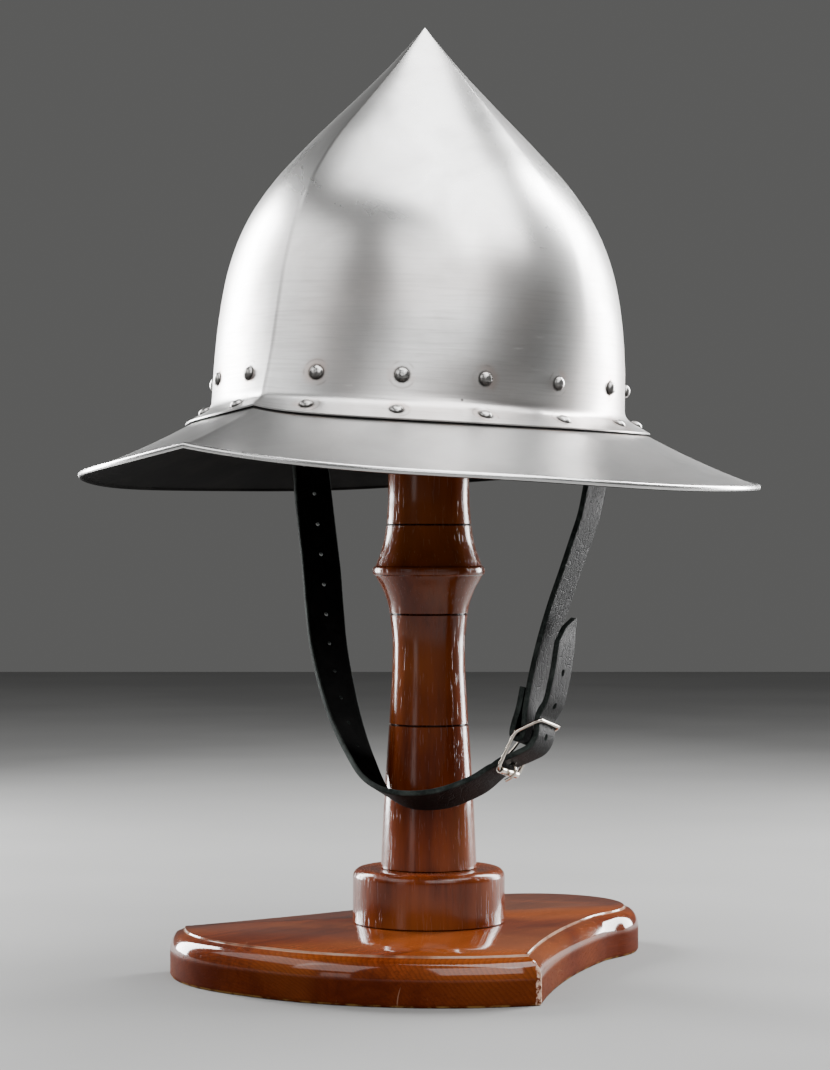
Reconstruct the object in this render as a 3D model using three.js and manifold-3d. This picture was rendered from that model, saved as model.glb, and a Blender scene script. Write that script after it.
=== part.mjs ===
// Kettle hat of riveted sheet steel with a buckled leather chin strap, on a turned wooden stand.
// Millimetres, +Z up. The origin is on the underside of the stand's board, on the axis of its post.
// The hat's front faces -Y, and the wearer's left side is toward +X.
import * as THREE from 'three';
import { mergeVertices } from 'three/addons/utils/BufferGeometryUtils.js';
import Module from 'manifold-3d';

const wasm = await Module();
wasm.setup();

const DEGREE = Math.PI / 180;

// Sheet steel, and the clearance between pieces that touch
const SHEET = 1.6;
const GAP = 0.3;

// How the hat sits on its stand: the middle of its rim, and a small lean toward the wearer's left
// and back
const HAT_SEAT = { x: -4.2, y: -3.2, z: 267 };
const HAT_LEAN = 0.73 * DEGREE;
const HAT_LEAN_TOWARD = 37.3 * DEGREE;

// Skull: half width at the sides, half length at front and back, and how sharply the sides meet
// along the middle ridge and along the side ridges, by height above the bend into the flange
const BEND_HEIGHT = 38.3;
const SKULL = [
  { up: 0, side: 106.5, front: 134, middleRidge: 0.21, sideRidge: 0 },
  { up: 26, side: 109.2, front: 127.5, middleRidge: 0.21, sideRidge: 0 },
  { up: 53, side: 108.8, front: 122.2, middleRidge: 0.2, sideRidge: 0.02 },
  { up: 79, side: 103.9, front: 116.4, middleRidge: 0.18, sideRidge: 0.03 },
  { up: 102.5, side: 94.2, front: 107.4, middleRidge: 0.17, sideRidge: 0.03 },
  { up: 124, side: 80.4, front: 94.2, middleRidge: 0.2, sideRidge: 0.05 },
  { up: 145, side: 62, front: 75.6, middleRidge: 0.24, sideRidge: 0.09 },
  { up: 166.5, side: 42.2, front: 51.2, middleRidge: 0.25, sideRidge: 0.16 },
  { up: 188, side: 22.6, front: 26.6, middleRidge: 0.27, sideRidge: 0.3 },
  { up: 205, side: 7.4, front: 8.8, middleRidge: 0.32, sideRidge: 0.42 },
  { up: 213.4, side: 0, front: 0, middleRidge: 0.35, sideRidge: 0.45 },
];
const SKULL_LEVELS = [5, 25, 50, 77, 102, 126, 152, 178, 203];
const SKULL_COLUMNS = 48;
// The rivets and the columns of facets beside them stand a little further round than the ridges
const RIVET_SHIFT = 2.1 / 360;
const TIP_WALL = 2.4;

// Rings that shape the brim: how far the bend, the flange's edge and the rim rise at front and back
const BEND_ARCH = { wave: 2.2, peak: 2, spread: 0.19 };
const BEND_FADE = 60;
const FLANGE_EDGE = { height: 29.6, wave: 1.4, peak: 6.8, spread: 0.27 };
const RIM = { side: 181.1, front: 195.5, wave: 2.5, peak: 12.9, spread: 0.39 };
const RIM_SET_BACK = 2.2;
const RIM_BACK_RISE = 2.9;
const FLANGE_WIDTH = 14.5;
const FLANGE_NARROWING = { amount: 7, spread: 0.15 };
const BRIM_HOLLOW = 1.4;
const BRIM_STEPS = [0.3, 0.62, 0.985];
const ROLLED_EDGE_RADIUS = 1.7;

// Rivets, evenly spaced around the hat
const RIVET_COUNT = 16;
const RIVET_SIDES = 6;
const RIVET_SHANK = 2;
const RIVET_HOLE = 2.35;
const RIVET_TAIL = { radius: 2.9, height: 0.9 };
const UPPER_HEAD = { radius: 3.7, height: 2.4 };
const LOWER_HEAD = { radius: 3.5, height: 1.9 };
const UPPER_ROW_HEIGHT = 14.7;
const LOWER_ROW_PLACE = 0.46;

// Chin strap
const STRAP_WIDTH = 24;
const STRAP_THICK = 3;
const STRAP_ABOVE_RIVET = 9;
const STRAP_WALL_CLEARANCE = 1.2;
const STRAP_STEP = { length: 15, bend: 15 * DEGREE };
const STRAP_HOLE = 1.7;
const STRAP_HOLE_PITCH = 18.2;
const LONG_STRAP_HOLES = 10;
const LONG_STRAP_FIRST_HOLE = 67.8;
const TONGUE_HOLES = 3;
const TONGUE_FIRST_HOLE = 23.6;

// Route of the long strap's middle line below the brim, on the wearer's right and under the chin. Turn
// swings the strap's width from straight back toward the wearer's left, and droop lowers its back edge,
// both in degrees
const LONG_STRAP_ROUTE = [
  { x: -100.5, y: 20.5, z: 274, turn: 17, droop: 3 },
  { x: -97.5, y: 18.8, z: 260, turn: 22, droop: 5 },
  { x: -91.5, y: 15.7, z: 235.5, turn: 25, droop: 7 },
  { x: -86.3, y: 12.4, z: 218, turn: 26, droop: 7 },
  { x: -80.5, y: 7.8, z: 197.5, turn: 26, droop: 8 },
  { x: -72.8, y: 1.8, z: 176.5, turn: 24, droop: 9 },
  { x: -62, y: -5.3, z: 156.5, turn: 20, droop: 11 },
  { x: -47.5, y: -14.4, z: 136, turn: 14, droop: 14 },
  { x: -28.9, y: -25.3, z: 117.5, turn: 6, droop: 18 },
  { x: -8.7, y: -35, z: 102, turn: -2, droop: 22 },
  { x: 10.6, y: -37.6, z: 96.3, turn: -8, droop: 24 },
  { x: 28.4, y: -28.6, z: 96.8, turn: -11, droop: 23 },
  { x: 43.5, y: -15.5, z: 103.8, turn: -13, droop: 19 },
];
// The tongue, from the buckle's upper bar to its tip: half widths at the near and the far edge
const TONGUE_ROUTE = [
  { x: 79, y: 6.5, z: 148.5, near: 12, far: 12 },
  { x: 81.9, y: 7.2, z: 160, near: 12, far: 12 },
  { x: 83.8, y: 7.8, z: 171, near: 12, far: 12 },
  { x: 85, y: 8.5, z: 181.5, near: 12, far: 12 },
  { x: 85.3, y: 8.9, z: 189, near: 3, far: 12 },
  { x: 85.9, y: 9.7, z: 195, near: -8.5, far: 11 },
];
// Route of the short strap's middle line, from the brim on the wearer's left down to the buckle
const SHORT_STRAP_ROUTE = [
  { x: 96.8, y: 22.4, z: 273, turn: -9, droop: 2 },
  { x: 95, y: 21.8, z: 263, turn: -9, droop: 3 },
  { x: 92.6, y: 20.1, z: 249, turn: -10, droop: 5 },
  { x: 88.6, y: 17.2, z: 234, turn: -11, droop: 7 },
  { x: 84, y: 13.8, z: 217, turn: -12, droop: 9 },
  { x: 78.8, y: 10.4, z: 199, turn: -13, droop: 11 },
  { x: 73.2, y: 7.6, z: 177.5, turn: -13.3, droop: 11.5 },
];
const FOLDED_END = 25;

// Buckle: a wire frame bent inward at its middle bar, seen in the plane across its bars
const BUCKLE_MIDDLE = { x: 64.6, y: 0.2, z: 130.5 };
const BUCKLE_TURN = -13.3;
const BUCKLE_DROOP = 11.5;
const BUCKLE_UP = new THREE.Vector3(0.584, 0.295, 0.756).normalize();
const BUCKLE_HALF_WIDTH = 14.5;
const BUCKLE_LOWER_LENGTH = 20.5;
const BUCKLE_UPPER_LENGTH = 14.4;
const BUCKLE_BEND = 6.25;
const BUCKLE_WIRE = 1.25;
const BUCKLE_CORNER = 1.9;
const ROLLER_RADIUS = 2.2;
const ROLLER_BORE = 1.6;
const ROLLER_LENGTH = 23;
const PRONG_WIRE = 0.9;
const PRONG_SLOT = 5;
const PRONG_HOLE = 2.5;
const SHORT_STRAP_TILT = 33 * DEGREE;

// Turned post of the stand: radius by height, with a raised ring and three cut grooves
const POST_PROFILE = [
  { z: 55.8, radius: 26.4 },
  { z: 70.5, radius: 25.7 },
  { z: 120, radius: 22.9 },
  { z: 133.6, radius: 21.9 },
  { z: 134.4, radius: 21.1 },
  { z: 135.2, radius: 21.8 },
  { z: 181, radius: 19.9 },
  { z: 194.4, radius: 21.3 },
  { z: 195.1, radius: 20.7 },
  { z: 195.8, radius: 21.6 },
  { z: 210, radius: 26 },
  { z: 215.6, radius: 29.2 },
  { z: 217.4, radius: 30.9 },
  { z: 220.4, radius: 30.9 },
  { z: 222, radius: 29.2 },
  { z: 226, radius: 27.6 },
  { z: 233, radius: 25.3 },
  { z: 243.6, radius: 23.5 },
  { z: 244.3, radius: 22.7 },
  { z: 245, radius: 23.4 },
  { z: 258, radius: 22.4 },
  { z: 290, radius: 22.4 },
];
const POST_SIDES = 18;
const HEAD_RADIUS = 46;
const HEAD_PROFILE = [
  { below: 40, radius: 24 },
  { below: 27, radius: 27 },
  { below: 19, radius: 44 },
  { below: 9, radius: 48 },
  { below: 0, radius: HEAD_RADIUS },
  { below: -6, radius: 36 },
  { below: -10, radius: 18 },
];
const BOSS_RADIUS = 41.9;
const BOSS_EDGE = 5;
const BOARD_THICK = 25.5;
const BOSS_TOP = 55.5;
const BOARD_EDGE = [
  { z: 0, inset: 1.2 },
  { z: 1.2, inset: 0 },
  { z: 15.5, inset: 0 },
  { z: 20, inset: 1.8 },
  { z: 23.4, inset: 6.2 },
  { z: BOARD_THICK, inset: 8.4 },
];
// Plan of the board: round back end, hollow sides, and a bowed front between two sharp corners
const BOARD_ROUND = { x: 3, y: 98, radius: 59.5 };
const BOARD_RIGHT_CORNER = { x: 124, y: -69.5 };
const BOARD_LEFT_CORNER = { x: -104, y: -96.5 };
const BOARD_RIGHT_HOLLOW = { x: 80, y: 10 };
const BOARD_LEFT_HOLLOW = { x: -74, y: -8 };
const BOARD_BOW = { x: 2, y: -138 };

const STEEL = { color: 0xb9b9b7, roughness: 0.34, metalness: 1 };
const RIVET_STEEL = { color: 0x8c8a86, roughness: 0.38, metalness: 1 };
const LEATHER = { color: 0x17181a, roughness: 0.62, metalness: 0 };
const NICKEL = { color: 0xcfc8bd, roughness: 0.2, metalness: 1 };
const WOOD = { color: 0x6e2c12, roughness: 0.28, metalness: 0 };

const part = new THREE.Group();
const hat = new THREE.Group();
hat.position.set(HAT_SEAT.x, HAT_SEAT.y, HAT_SEAT.z);
const leanAxis = new THREE.Vector3(-Math.sin(HAT_LEAN_TOWARD), Math.cos(HAT_LEAN_TOWARD), 0);
hat.quaternion.setFromAxisAngle(leanAxis, HAT_LEAN);
hat.updateMatrixWorld(true);
part.add(hat);

function addMesh(group, name, geometry, finish) {
  const mesh = new THREE.Mesh(geometry, new THREE.MeshStandardMaterial(finish));
  mesh.name = name;
  group.add(mesh);
  return mesh;
}

function numbered(name, index) {
  return `${name}_${String(index + 1).padStart(2, '0')}`;
}

// One closed body from points and triangles: merged, without flat triangles, faces outward
function closedBody(points, triangles) {
  const raw = new THREE.BufferGeometry();
  const numbers = points.flatMap((p) => [p.x, p.y, p.z]);
  raw.setAttribute('position', new THREE.Float32BufferAttribute(numbers, 3));
  raw.setIndex(triangles.flat());
  return cleaned(raw);
}

function cleaned(geometry) {
  geometry.deleteAttribute('normal');
  geometry.deleteAttribute('uv');
  const merged = mergeVertices(geometry, 1e-4);
  const index = Array.from(merged.index.array);
  const corner = (i) => new THREE.Vector3().fromBufferAttribute(merged.attributes.position, i);
  const kept = [];
  let volume = 0;
  for (let k = 0; k < index.length; k += 3) {
    const [a, b, c] = index.slice(k, k + 3);
    if (a === b || b === c || c === a) continue;
    kept.push([a, b, c]);
    volume += corner(a).dot(corner(b).cross(corner(c)));
  }
  merged.setIndex((volume < 0 ? kept.map(([a, b, c]) => [a, c, b]) : kept).flat());
  return merged;
}

// Skin over a row of sections, each a closed loop of the same number of points. The row closes on
// itself, or else its first and last sections are covered
function loft(sections, ring) {
  const points = sections.flat();
  const across = sections[0].length;
  const triangles = [];
  const spans = ring ? sections.length : sections.length - 1;
  for (let j = 0; j < spans; j += 1) {
    const here = j * across;
    const next = ((j + 1) % sections.length) * across;
    for (let i = 0; i < across; i += 1) {
      const k = (i + 1) % across;
      const rising = points[here + i].distanceTo(points[next + k]);
      const falling = points[here + k].distanceTo(points[next + i]);
      if (rising < falling) triangles.push([here + i, here + k, next + k], [here + i, next + k, next + i]);
      else triangles.push([here + i, here + k, next + i], [here + k, next + k, next + i]);
    }
  }
  if (!ring) {
    const last = (sections.length - 1) * across;
    const flat = flattened(sections[0]);
    for (const [a, b, c] of THREE.ShapeUtils.triangulateShape(flat, [])) {
      triangles.push([a, c, b], [last + a, last + b, last + c]);
    }
  }
  return closedBody(points, triangles);
}

// The loop as seen along its own normal, wound the way that triangulateShape wants it
function flattened(loop) {
  const u = loop[1].clone().sub(loop[0]).normalize();
  const normal = new THREE.Vector3();
  for (let i = 0; i < loop.length; i += 1) {
    normal.add(loop[i].clone().cross(loop[(i + 1) % loop.length]));
  }
  const v = normal.normalize().clone().cross(u);
  return loop.map((p) => new THREE.Vector2(p.dot(u), p.dot(v)));
}

function toManifold(geometry) {
  return new wasm.Manifold(new wasm.Mesh({
    numProp: 3,
    vertProperties: new Float32Array(geometry.attributes.position.array),
    triVerts: new Uint32Array(geometry.index.array),
  }));
}

function fromManifold(body) {
  const mesh = body.getMesh();
  const geometry = new THREE.BufferGeometry();
  geometry.setAttribute('position', new THREE.BufferAttribute(new Float32Array(mesh.vertProperties), 3));
  geometry.setIndex(Array.from(mesh.triVerts));
  return geometry;
}

function cut(geometry, tools) {
  let body = toManifold(geometry);
  for (const tool of tools) body = body.subtract(toManifold(tool));
  return fromManifold(body);
}

function joined(geometries) {
  const [first, ...rest] = geometries.map(toManifold);
  return fromManifold(rest.reduce((body, other) => body.add(other), first));
}

// Body turned about +Z from a profile of [radius, height] pairs that starts and ends on the axis
function turned(profile, sides) {
  const points = profile.map(([radius, height]) => new THREE.Vector2(radius, height));
  return cleaned(new THREE.LatheGeometry(points, sides).rotateX(Math.PI / 2));
}

// Places a body made about +Z at a seat with its +Z along the seat's normal
function seated(geometry, seat) {
  const turn = new THREE.Quaternion().setFromUnitVectors(new THREE.Vector3(0, 0, 1), seat.normal);
  return geometry.applyQuaternion(turn).translate(seat.point.x, seat.point.y, seat.point.z);
}

// Value of a column of a table at a place between its rows, by a smooth curve through the rows
function smooth(rows, at, key, place) {
  const last = rows.length - 1;
  let i = rows.findIndex((row) => row[at] > place) - 1;
  if (i < 0) i = place < rows[0][at] ? 0 : last - 1;
  const slope = (k) => {
    const low = rows[Math.max(k - 1, 0)];
    const high = rows[Math.min(k + 1, last)];
    return (high[key] - low[key]) / (high[at] - low[at]);
  };
  const span = rows[i + 1][at] - rows[i][at];
  const t = (place - rows[i][at]) / span;
  const s = t * t * (3 - 2 * t);
  const rise = slope(i) * span * t * (1 - t) * (1 - t) - slope(i + 1) * span * t * t * (1 - t);
  return rows[i][key] * (1 - s) + rows[i + 1][key] * s + rise;
}

// Unit outline of the hat at a place around it, in turns from the front by way of the wearer's left
// side: each quarter is one cubic arc whose ends are tilted where the ridges are sharp
function aroundHat(turns, middleRidge, sideRidge) {
  const quarter = Math.floor((turns * 4 + 8) % 4);
  const within = (turns * 4 + 8) % 1;
  const t = quarter % 2 === 1 ? 1 - within : within;
  const reach = 0.5523;
  const s = 1 - t;
  const nearX = reach * Math.cos(middleRidge);
  const nearY = 1 - reach * Math.sin(middleRidge);
  const farX = 1 - reach * Math.sin(sideRidge);
  const farY = reach * Math.cos(sideRidge);
  const x = 3 * t * s * s * nearX + 3 * t * t * s * farX + t * t * t;
  const y = s * s * s + 3 * t * s * s * nearY + 3 * t * t * s * farY;
  return { x: quarter < 2 ? x : -x, y: quarter === 0 || quarter === 3 ? -y : y };
}

// Rise of a ring at front and back: a gentle wave, and a peak along the middle ridge
function arch(turns, { wave, peak, spread }) {
  const angle = turns * 2 * Math.PI;
  return wave * Math.cos(2 * angle) + peak * Math.exp(-Math.abs(Math.sin(angle)) / spread);
}

function skullPoint(turns, up) {
  const middleRidge = smooth(SKULL, 'up', 'middleRidge', up);
  const sideRidge = smooth(SKULL, 'up', 'sideRidge', up);
  const { x, y } = aroundHat(turns, middleRidge, sideRidge);
  const fade = Math.max(1 - up / BEND_FADE, 0) ** 2;
  return new THREE.Vector3(
    x * smooth(SKULL, 'up', 'side', up),
    y * smooth(SKULL, 'up', 'front', up),
    BEND_HEIGHT + up + fade * arch(turns, BEND_ARCH),
  );
}

// Top of the flange, from the bend at 0 to its edge at 1
function flangePoint(turns, place) {
  const bend = skullPoint(turns, 0);
  const { amount, spread } = FLANGE_NARROWING;
  const width = FLANGE_WIDTH - amount * Math.exp(-Math.abs(Math.sin(turns * 2 * Math.PI)) / spread);
  const edge = new THREE.Vector3(
    bend.x * (1 + width / SKULL[0].side),
    bend.y * (1 + width / SKULL[0].front),
    FLANGE_EDGE.height + arch(turns, FLANGE_EDGE),
  );
  return bend.lerp(edge, place);
}

function rimPoint(turns) {
  const { x, y } = aroundHat(turns, 0.05, 0);
  const rise = arch(turns, RIM) + (y > 0 ? RIM_BACK_RISE * y * y : 0);
  return new THREE.Vector3(x * RIM.side, y * RIM.front + RIM_SET_BACK, rise);
}

// Line on a sheet moved inward by a depth, square to the sheet. The sheet's direction around the hat
// is that of the same line one column ahead and one behind
function movedIn(makeLine, turns, depth) {
  const line = makeLine(turns);
  const ahead = makeLine(turns + COLUMN);
  const behind = makeLine(turns - COLUMN);
  return line.map((point, i) => {
    const across = ahead[i].clone().sub(behind[i]);
    const normals = [line[i - 1], line[i + 1]].map((other, k) => {
      if (!other) return null;
      const along = k === 0 ? point.clone().sub(other) : other.clone().sub(point);
      return along.cross(across).normalize();
    }).filter(Boolean);
    const mean = normals.reduce((sum, n) => sum.add(n.clone()), new THREE.Vector3()).normalize();
    return point.clone().addScaledVector(mean, -depth / Math.max(mean.dot(normals[0]), 0.6));
  });
}

const COLUMN = 1 / SKULL_COLUMNS;

function everyTurn(makeSection) {
  return Array.from({ length: SKULL_COLUMNS }, (_, j) => {
    const onRidge = j % (SKULL_COLUMNS / 4) === 0;
    return makeSection(j * COLUMN + (onRidge ? 0 : RIVET_SHIFT));
  });
}

// Outer line of the crown from just under the tip down to the flange's edge
function crownLine(turns) {
  const wall = SKULL_LEVELS.slice().reverse().map((up) => skullPoint(turns, up));
  return [...wall, flangePoint(turns, 0.04), flangePoint(turns, 1)];
}

function crownSection(turns) {
  const outer = crownLine(turns);
  const inner = movedIn(crownLine, turns, SHEET);
  const tip = skullPoint(0, SKULL[SKULL.length - 1].up);
  const innerTip = tip.clone().add(new THREE.Vector3(0, 0, -TIP_WALL));
  return [tip, ...outer, ...inner.reverse(), innerTip];
}

function seamLine(turns) {
  return [flangePoint(turns, 0.14), flangePoint(turns, 1)];
}

// Top of the brim: close under the flange, then slightly hollow out to the rim
function brimLine(turns) {
  const seam = movedIn(seamLine, turns, SHEET + GAP);
  const outside = BRIM_STEPS.map((place) => {
    const point = seam[1].clone().lerp(rimPoint(turns), place);
    point.z -= BRIM_HOLLOW * 4 * place * (1 - place);
    return point;
  });
  return [...seam, ...outside];
}

// Brim section: the sheet, with the rolled edge as a round bead outside it
function brimSection(turns) {
  const top = brimLine(turns);
  const under = movedIn(brimLine, turns, SHEET);
  const centre = top[top.length - 1].clone().lerp(under[under.length - 1], 0.5);
  const outward = top[top.length - 1].clone().sub(top[top.length - 2]).normalize();
  const up = top[top.length - 1].clone().sub(under[under.length - 1]).normalize();
  const bead = [125, 75, 25, -25, -75, -125].map((angle) => centre.clone()
    .addScaledVector(outward, ROLLED_EDGE_RADIUS * (0.8 + Math.cos(angle * DEGREE)))
    .addScaledVector(up, ROLLED_EDGE_RADIUS * Math.sin(angle * DEGREE)));
  return [...top.slice(0, -1), ...bead, ...under.slice(0, -1).reverse()];
}

// Seat on the outside of the sheet: the middle of the flat facet between two columns and two levels
function seatOn(surface, turns, low, high, place) {
  const columns = [turns - COLUMN / 2, turns + COLUMN / 2];
  const [lowLeft, lowRight] = columns.map((t) => surface(t, low));
  const [highLeft, highRight] = columns.map((t) => surface(t, high));
  const bottom = lowLeft.clone().lerp(lowRight, 0.5);
  const top = highLeft.clone().lerp(highRight, 0.5);
  const around = lowRight.sub(lowLeft).add(highRight.sub(highLeft));
  const normal = around.cross(top.clone().sub(bottom)).normalize();
  return { point: bottom.lerp(top, (place - low) / (high - low)), normal };
}

function rivetTurns(index) {
  return (index + 0.5) / RIVET_COUNT + RIVET_SHIFT;
}

function upperSeat(index) {
  return seatOn(skullPoint, rivetTurns(index), SKULL_LEVELS[0], SKULL_LEVELS[1], UPPER_ROW_HEIGHT);
}

function lowerSeat(index) {
  return seatOn(flangePoint, rivetTurns(index), 1, 0, LOWER_ROW_PLACE);
}

// Rivet about +Z, its head resting just above 0 and its tail spread under a stack of the given depth
function rivet(head, stack) {
  return turned([
    [0, GAP + head.height],
    [head.radius * 0.66, GAP + head.height * 0.74],
    [head.radius, GAP],
    [RIVET_SHANK, GAP],
    [RIVET_SHANK, -stack - GAP],
    [RIVET_TAIL.radius, -stack - GAP],
    [0, -stack - GAP - RIVET_TAIL.height],
  ], RIVET_SIDES);
}

function rivetDrill(seat) {
  return seated(turned([[0, 8], [RIVET_HOLE, 8], [RIVET_HOLE, -8], [0, -8]], RIVET_SIDES), seat);
}

const rivetIndexes = Array.from({ length: RIVET_COUNT }, (_, i) => i);
// The rivets that also hold the strap, a little behind the wearer's left and right
const LEFT_FIXING = 4;
const RIGHT_FIXING = 11;

function buildHat() {
  const upperDrills = rivetIndexes.map((i) => rivetDrill(upperSeat(i)));
  const lowerDrills = rivetIndexes.map((i) => rivetDrill(lowerSeat(i)));
  const crown = cut(loft(everyTurn(crownSection), true), [...upperDrills, ...lowerDrills]);
  addMesh(hat, 'crown', crown, STEEL);
  addMesh(hat, 'brim', cut(loft(everyTurn(brimSection), true), lowerDrills), STEEL);
  for (const i of rivetIndexes) {
    const holdsStrap = i === LEFT_FIXING || i === RIGHT_FIXING;
    const upperStack = holdsStrap ? SHEET + STRAP_WALL_CLEARANCE + STRAP_THICK : SHEET;
    const upper = seated(rivet(UPPER_HEAD, upperStack), upperSeat(i));
    const lower = seated(rivet(LOWER_HEAD, 2 * SHEET + 2 * GAP), lowerSeat(i));
    addMesh(hat, numbered('upper_rivet', i), upper, RIVET_STEEL);
    addMesh(hat, numbered('lower_rivet', i), lower, RIVET_STEEL);
  }
}

// Direction of a strap's width, from its near edge to its far edge
function widthDirection(turn, droop) {
  return new THREE.Vector3(
    Math.sin(turn * DEGREE) * Math.cos(droop * DEGREE),
    Math.cos(turn * DEGREE) * Math.cos(droop * DEGREE),
    -Math.sin(droop * DEGREE),
  );
}

// Top of a strap, flat against the inside of the crown, from above its rivet to below the bend
function strapTop(rivetIndex) {
  const seat = upperSeat(rivetIndex);
  const around = new THREE.Vector3(0, 0, 1).cross(seat.normal).normalize();
  const turn = Math.atan(around.x / around.y) / DEGREE;
  const down = around.clone().cross(seat.normal).normalize();
  if (down.z > 0) down.negate();
  const depth = SHEET + STRAP_WALL_CLEARANCE + STRAP_THICK / 2;
  return [-STRAP_ABOVE_RIVET, 0, 8, 16].map((drop) => {
    const point = seat.point.clone().addScaledVector(seat.normal, -depth).addScaledVector(down, drop);
    const { x, y, z } = hat.localToWorld(point);
    return { x, y, z, turn, droop: 0 };
  });
}

// Smooth route through rows, with the strap's width direction and half widths worked out at every
// station. Stations are close together where the strap bends and far apart where it is straight
function strapStations(rows) {
  const steps = 400;
  const points = rows.map((row) => new THREE.Vector3(row.x, row.y, row.z));
  const curve = new THREE.CatmullRomCurve3(points, false, 'centripetal');
  curve.arcLengthDivisions = 600;
  const columns = { turn: 0, droop: 0, near: STRAP_WIDTH / 2, far: STRAP_WIDTH / 2 };
  const fine = Array.from({ length: steps + 1 }, (_, k) => {
    const t = curve.getUtoTmapping(k / steps) * (rows.length - 1);
    const i = Math.min(Math.floor(t), rows.length - 2);
    const mixed = {};
    for (const [key, usual] of Object.entries(columns)) {
      mixed[key] = THREE.MathUtils.lerp(rows[i][key] ?? usual, rows[i + 1][key] ?? usual, t - i);
    }
    const tangent = curve.getTangentAt(k / steps);
    const width = widthDirection(mixed.turn, mixed.droop);
    width.addScaledVector(tangent, -width.dot(tangent)).normalize();
    const normal = tangent.clone().cross(width);
    const length = curve.getLength() * k / steps;
    return { point: curve.getPointAt(k / steps), tangent, width, normal, length, ...mixed };
  });
  const kept = [fine[0]];
  for (const station of fine.slice(1, -1)) {
    const last = kept[kept.length - 1];
    const bend = station.tangent.angleTo(last.tangent) + station.width.angleTo(last.width);
    if (bend > STRAP_STEP.bend || station.length - last.length > STRAP_STEP.length) kept.push(station);
  }
  return [...kept, fine[steps]];
}

function strapBody(stations) {
  const half = STRAP_THICK / 2;
  const sections = stations.map(({ point, width, normal, near, far }) => {
    const corners = [[-near, -half], [far, -half], [far, half], [-near, half]];
    return corners.map(([side, face]) => point.clone()
      .addScaledVector(width, side)
      .addScaledVector(normal, face));
  });
  return loft(sections, false);
}

// Place along the strap, between the stations on either side of it
function strapPlace(stations, length) {
  const next = Math.max(stations.findIndex((s) => s.length > length), 1);
  const [a, b] = [stations[next - 1], stations[next]];
  const t = (length - a.length) / (b.length - a.length);
  const normal = a.normal.clone().lerp(b.normal, t).normalize();
  return { point: a.point.clone().lerp(b.point, t), normal };
}

// Length along the strap at which it passes nearest to a point
function nearestLength(stations, target) {
  const step = 0.6;
  const end = stations[stations.length - 1].length;
  const gap = (length) => strapPlace(stations, length).point.distanceTo(target);
  let best = 0;
  for (let length = step; length < end; length += step) if (gap(length) < gap(best)) best = length;
  return best;
}

function strapDrill(stations, length, radius) {
  return seated(turned([[0, 4], [radius, 4], [radius, -4], [0, -4]], 5), strapPlace(stations, length));
}

// Buckle's own directions: across its bars, up its length, and outward from the wearer's cheek
const buckleAcross = widthDirection(BUCKLE_TURN, BUCKLE_DROOP);
const buckleUp = BUCKLE_UP.clone().addScaledVector(buckleAcross, -BUCKLE_UP.dot(buckleAcross)).normalize();
const buckleOut = buckleAcross.clone().cross(buckleUp).normalize();

// Point of the buckle: along its length from the middle bar, outward from the line of its end bars,
// and across
function bucklePoint(along, out, across = 0) {
  return new THREE.Vector3(BUCKLE_MIDDLE.x, BUCKLE_MIDDLE.y, BUCKLE_MIDDLE.z)
    .addScaledVector(buckleUp, along)
    .addScaledVector(buckleOut, out + BUCKLE_BEND)
    .addScaledVector(buckleAcross, across);
}

const MIDDLE_BAR = { along: 0, out: -BUCKLE_BEND };
const ROLLER_BAR = { along: -BUCKLE_LOWER_LENGTH, out: 0 };
const UPPER_BAR = { along: BUCKLE_UPPER_LENGTH, out: 0 };

// Round wire along points, its sections kept upright to one direction
function wire(points, radius, upright, ring) {
  const sides = 6;
  const count = points.length;
  return loft(points.map((point, i) => {
    const next = points[ring ? (i + 1) % count : Math.min(i + 1, count - 1)];
    const last = points[ring ? (i + count - 1) % count : Math.max(i - 1, 0)];
    const before = ring || i > 0 ? point.clone().sub(last).normalize() : next.clone().sub(point).normalize();
    const after = ring || i < count - 1 ? next.clone().sub(point).normalize() : before;
    const tangent = before.clone().add(after).normalize();
    const widen = 1 / Math.max(tangent.dot(after), 0.5);
    const u = tangent.clone().cross(upright).normalize();
    const v = u.clone().cross(tangent).normalize();
    return Array.from({ length: sides }, (_, k) => {
      const angle = (k + 0.5) * 2 * Math.PI / sides;
      return point.clone()
        .addScaledVector(u, radius * widen * Math.cos(angle))
        .addScaledVector(v, radius * Math.sin(angle));
    });
  }), ring);
}

function buckleFrame() {
  const side = BUCKLE_HALF_WIDTH;
  const c = BUCKLE_CORNER;
  const lean = Math.atan2(BUCKLE_BEND, BUCKLE_LOWER_LENGTH);
  const steep = Math.atan2(BUCKLE_BEND, BUCKLE_UPPER_LENGTH);
  const lower = { along: ROLLER_BAR.along + c * Math.cos(lean), out: -c * Math.sin(lean) };
  const upper = { along: UPPER_BAR.along - c * Math.cos(steep), out: -c * Math.sin(steep) };
  const rail = [
    bucklePoint(lower.along, lower.out, side),
    bucklePoint(MIDDLE_BAR.along, MIDDLE_BAR.out, side),
    bucklePoint(upper.along, upper.out, side),
    bucklePoint(UPPER_BAR.along, UPPER_BAR.out, side - c),
  ];
  const otherRail = [
    bucklePoint(UPPER_BAR.along, UPPER_BAR.out, c - side),
    bucklePoint(upper.along, upper.out, -side),
    bucklePoint(MIDDLE_BAR.along, MIDDLE_BAR.out, -side),
    bucklePoint(lower.along, lower.out, -side),
    bucklePoint(ROLLER_BAR.along, ROLLER_BAR.out, c - side),
    bucklePoint(ROLLER_BAR.along, ROLLER_BAR.out, side - c),
  ];
  const bar = [bucklePoint(0, -BUCKLE_BEND, -side), bucklePoint(0, -BUCKLE_BEND, side)];
  return joined([
    wire([...rail, ...otherRail], BUCKLE_WIRE, buckleOut, true),
    wire(bar, BUCKLE_WIRE, buckleOut, false),
  ]);
}

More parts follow.
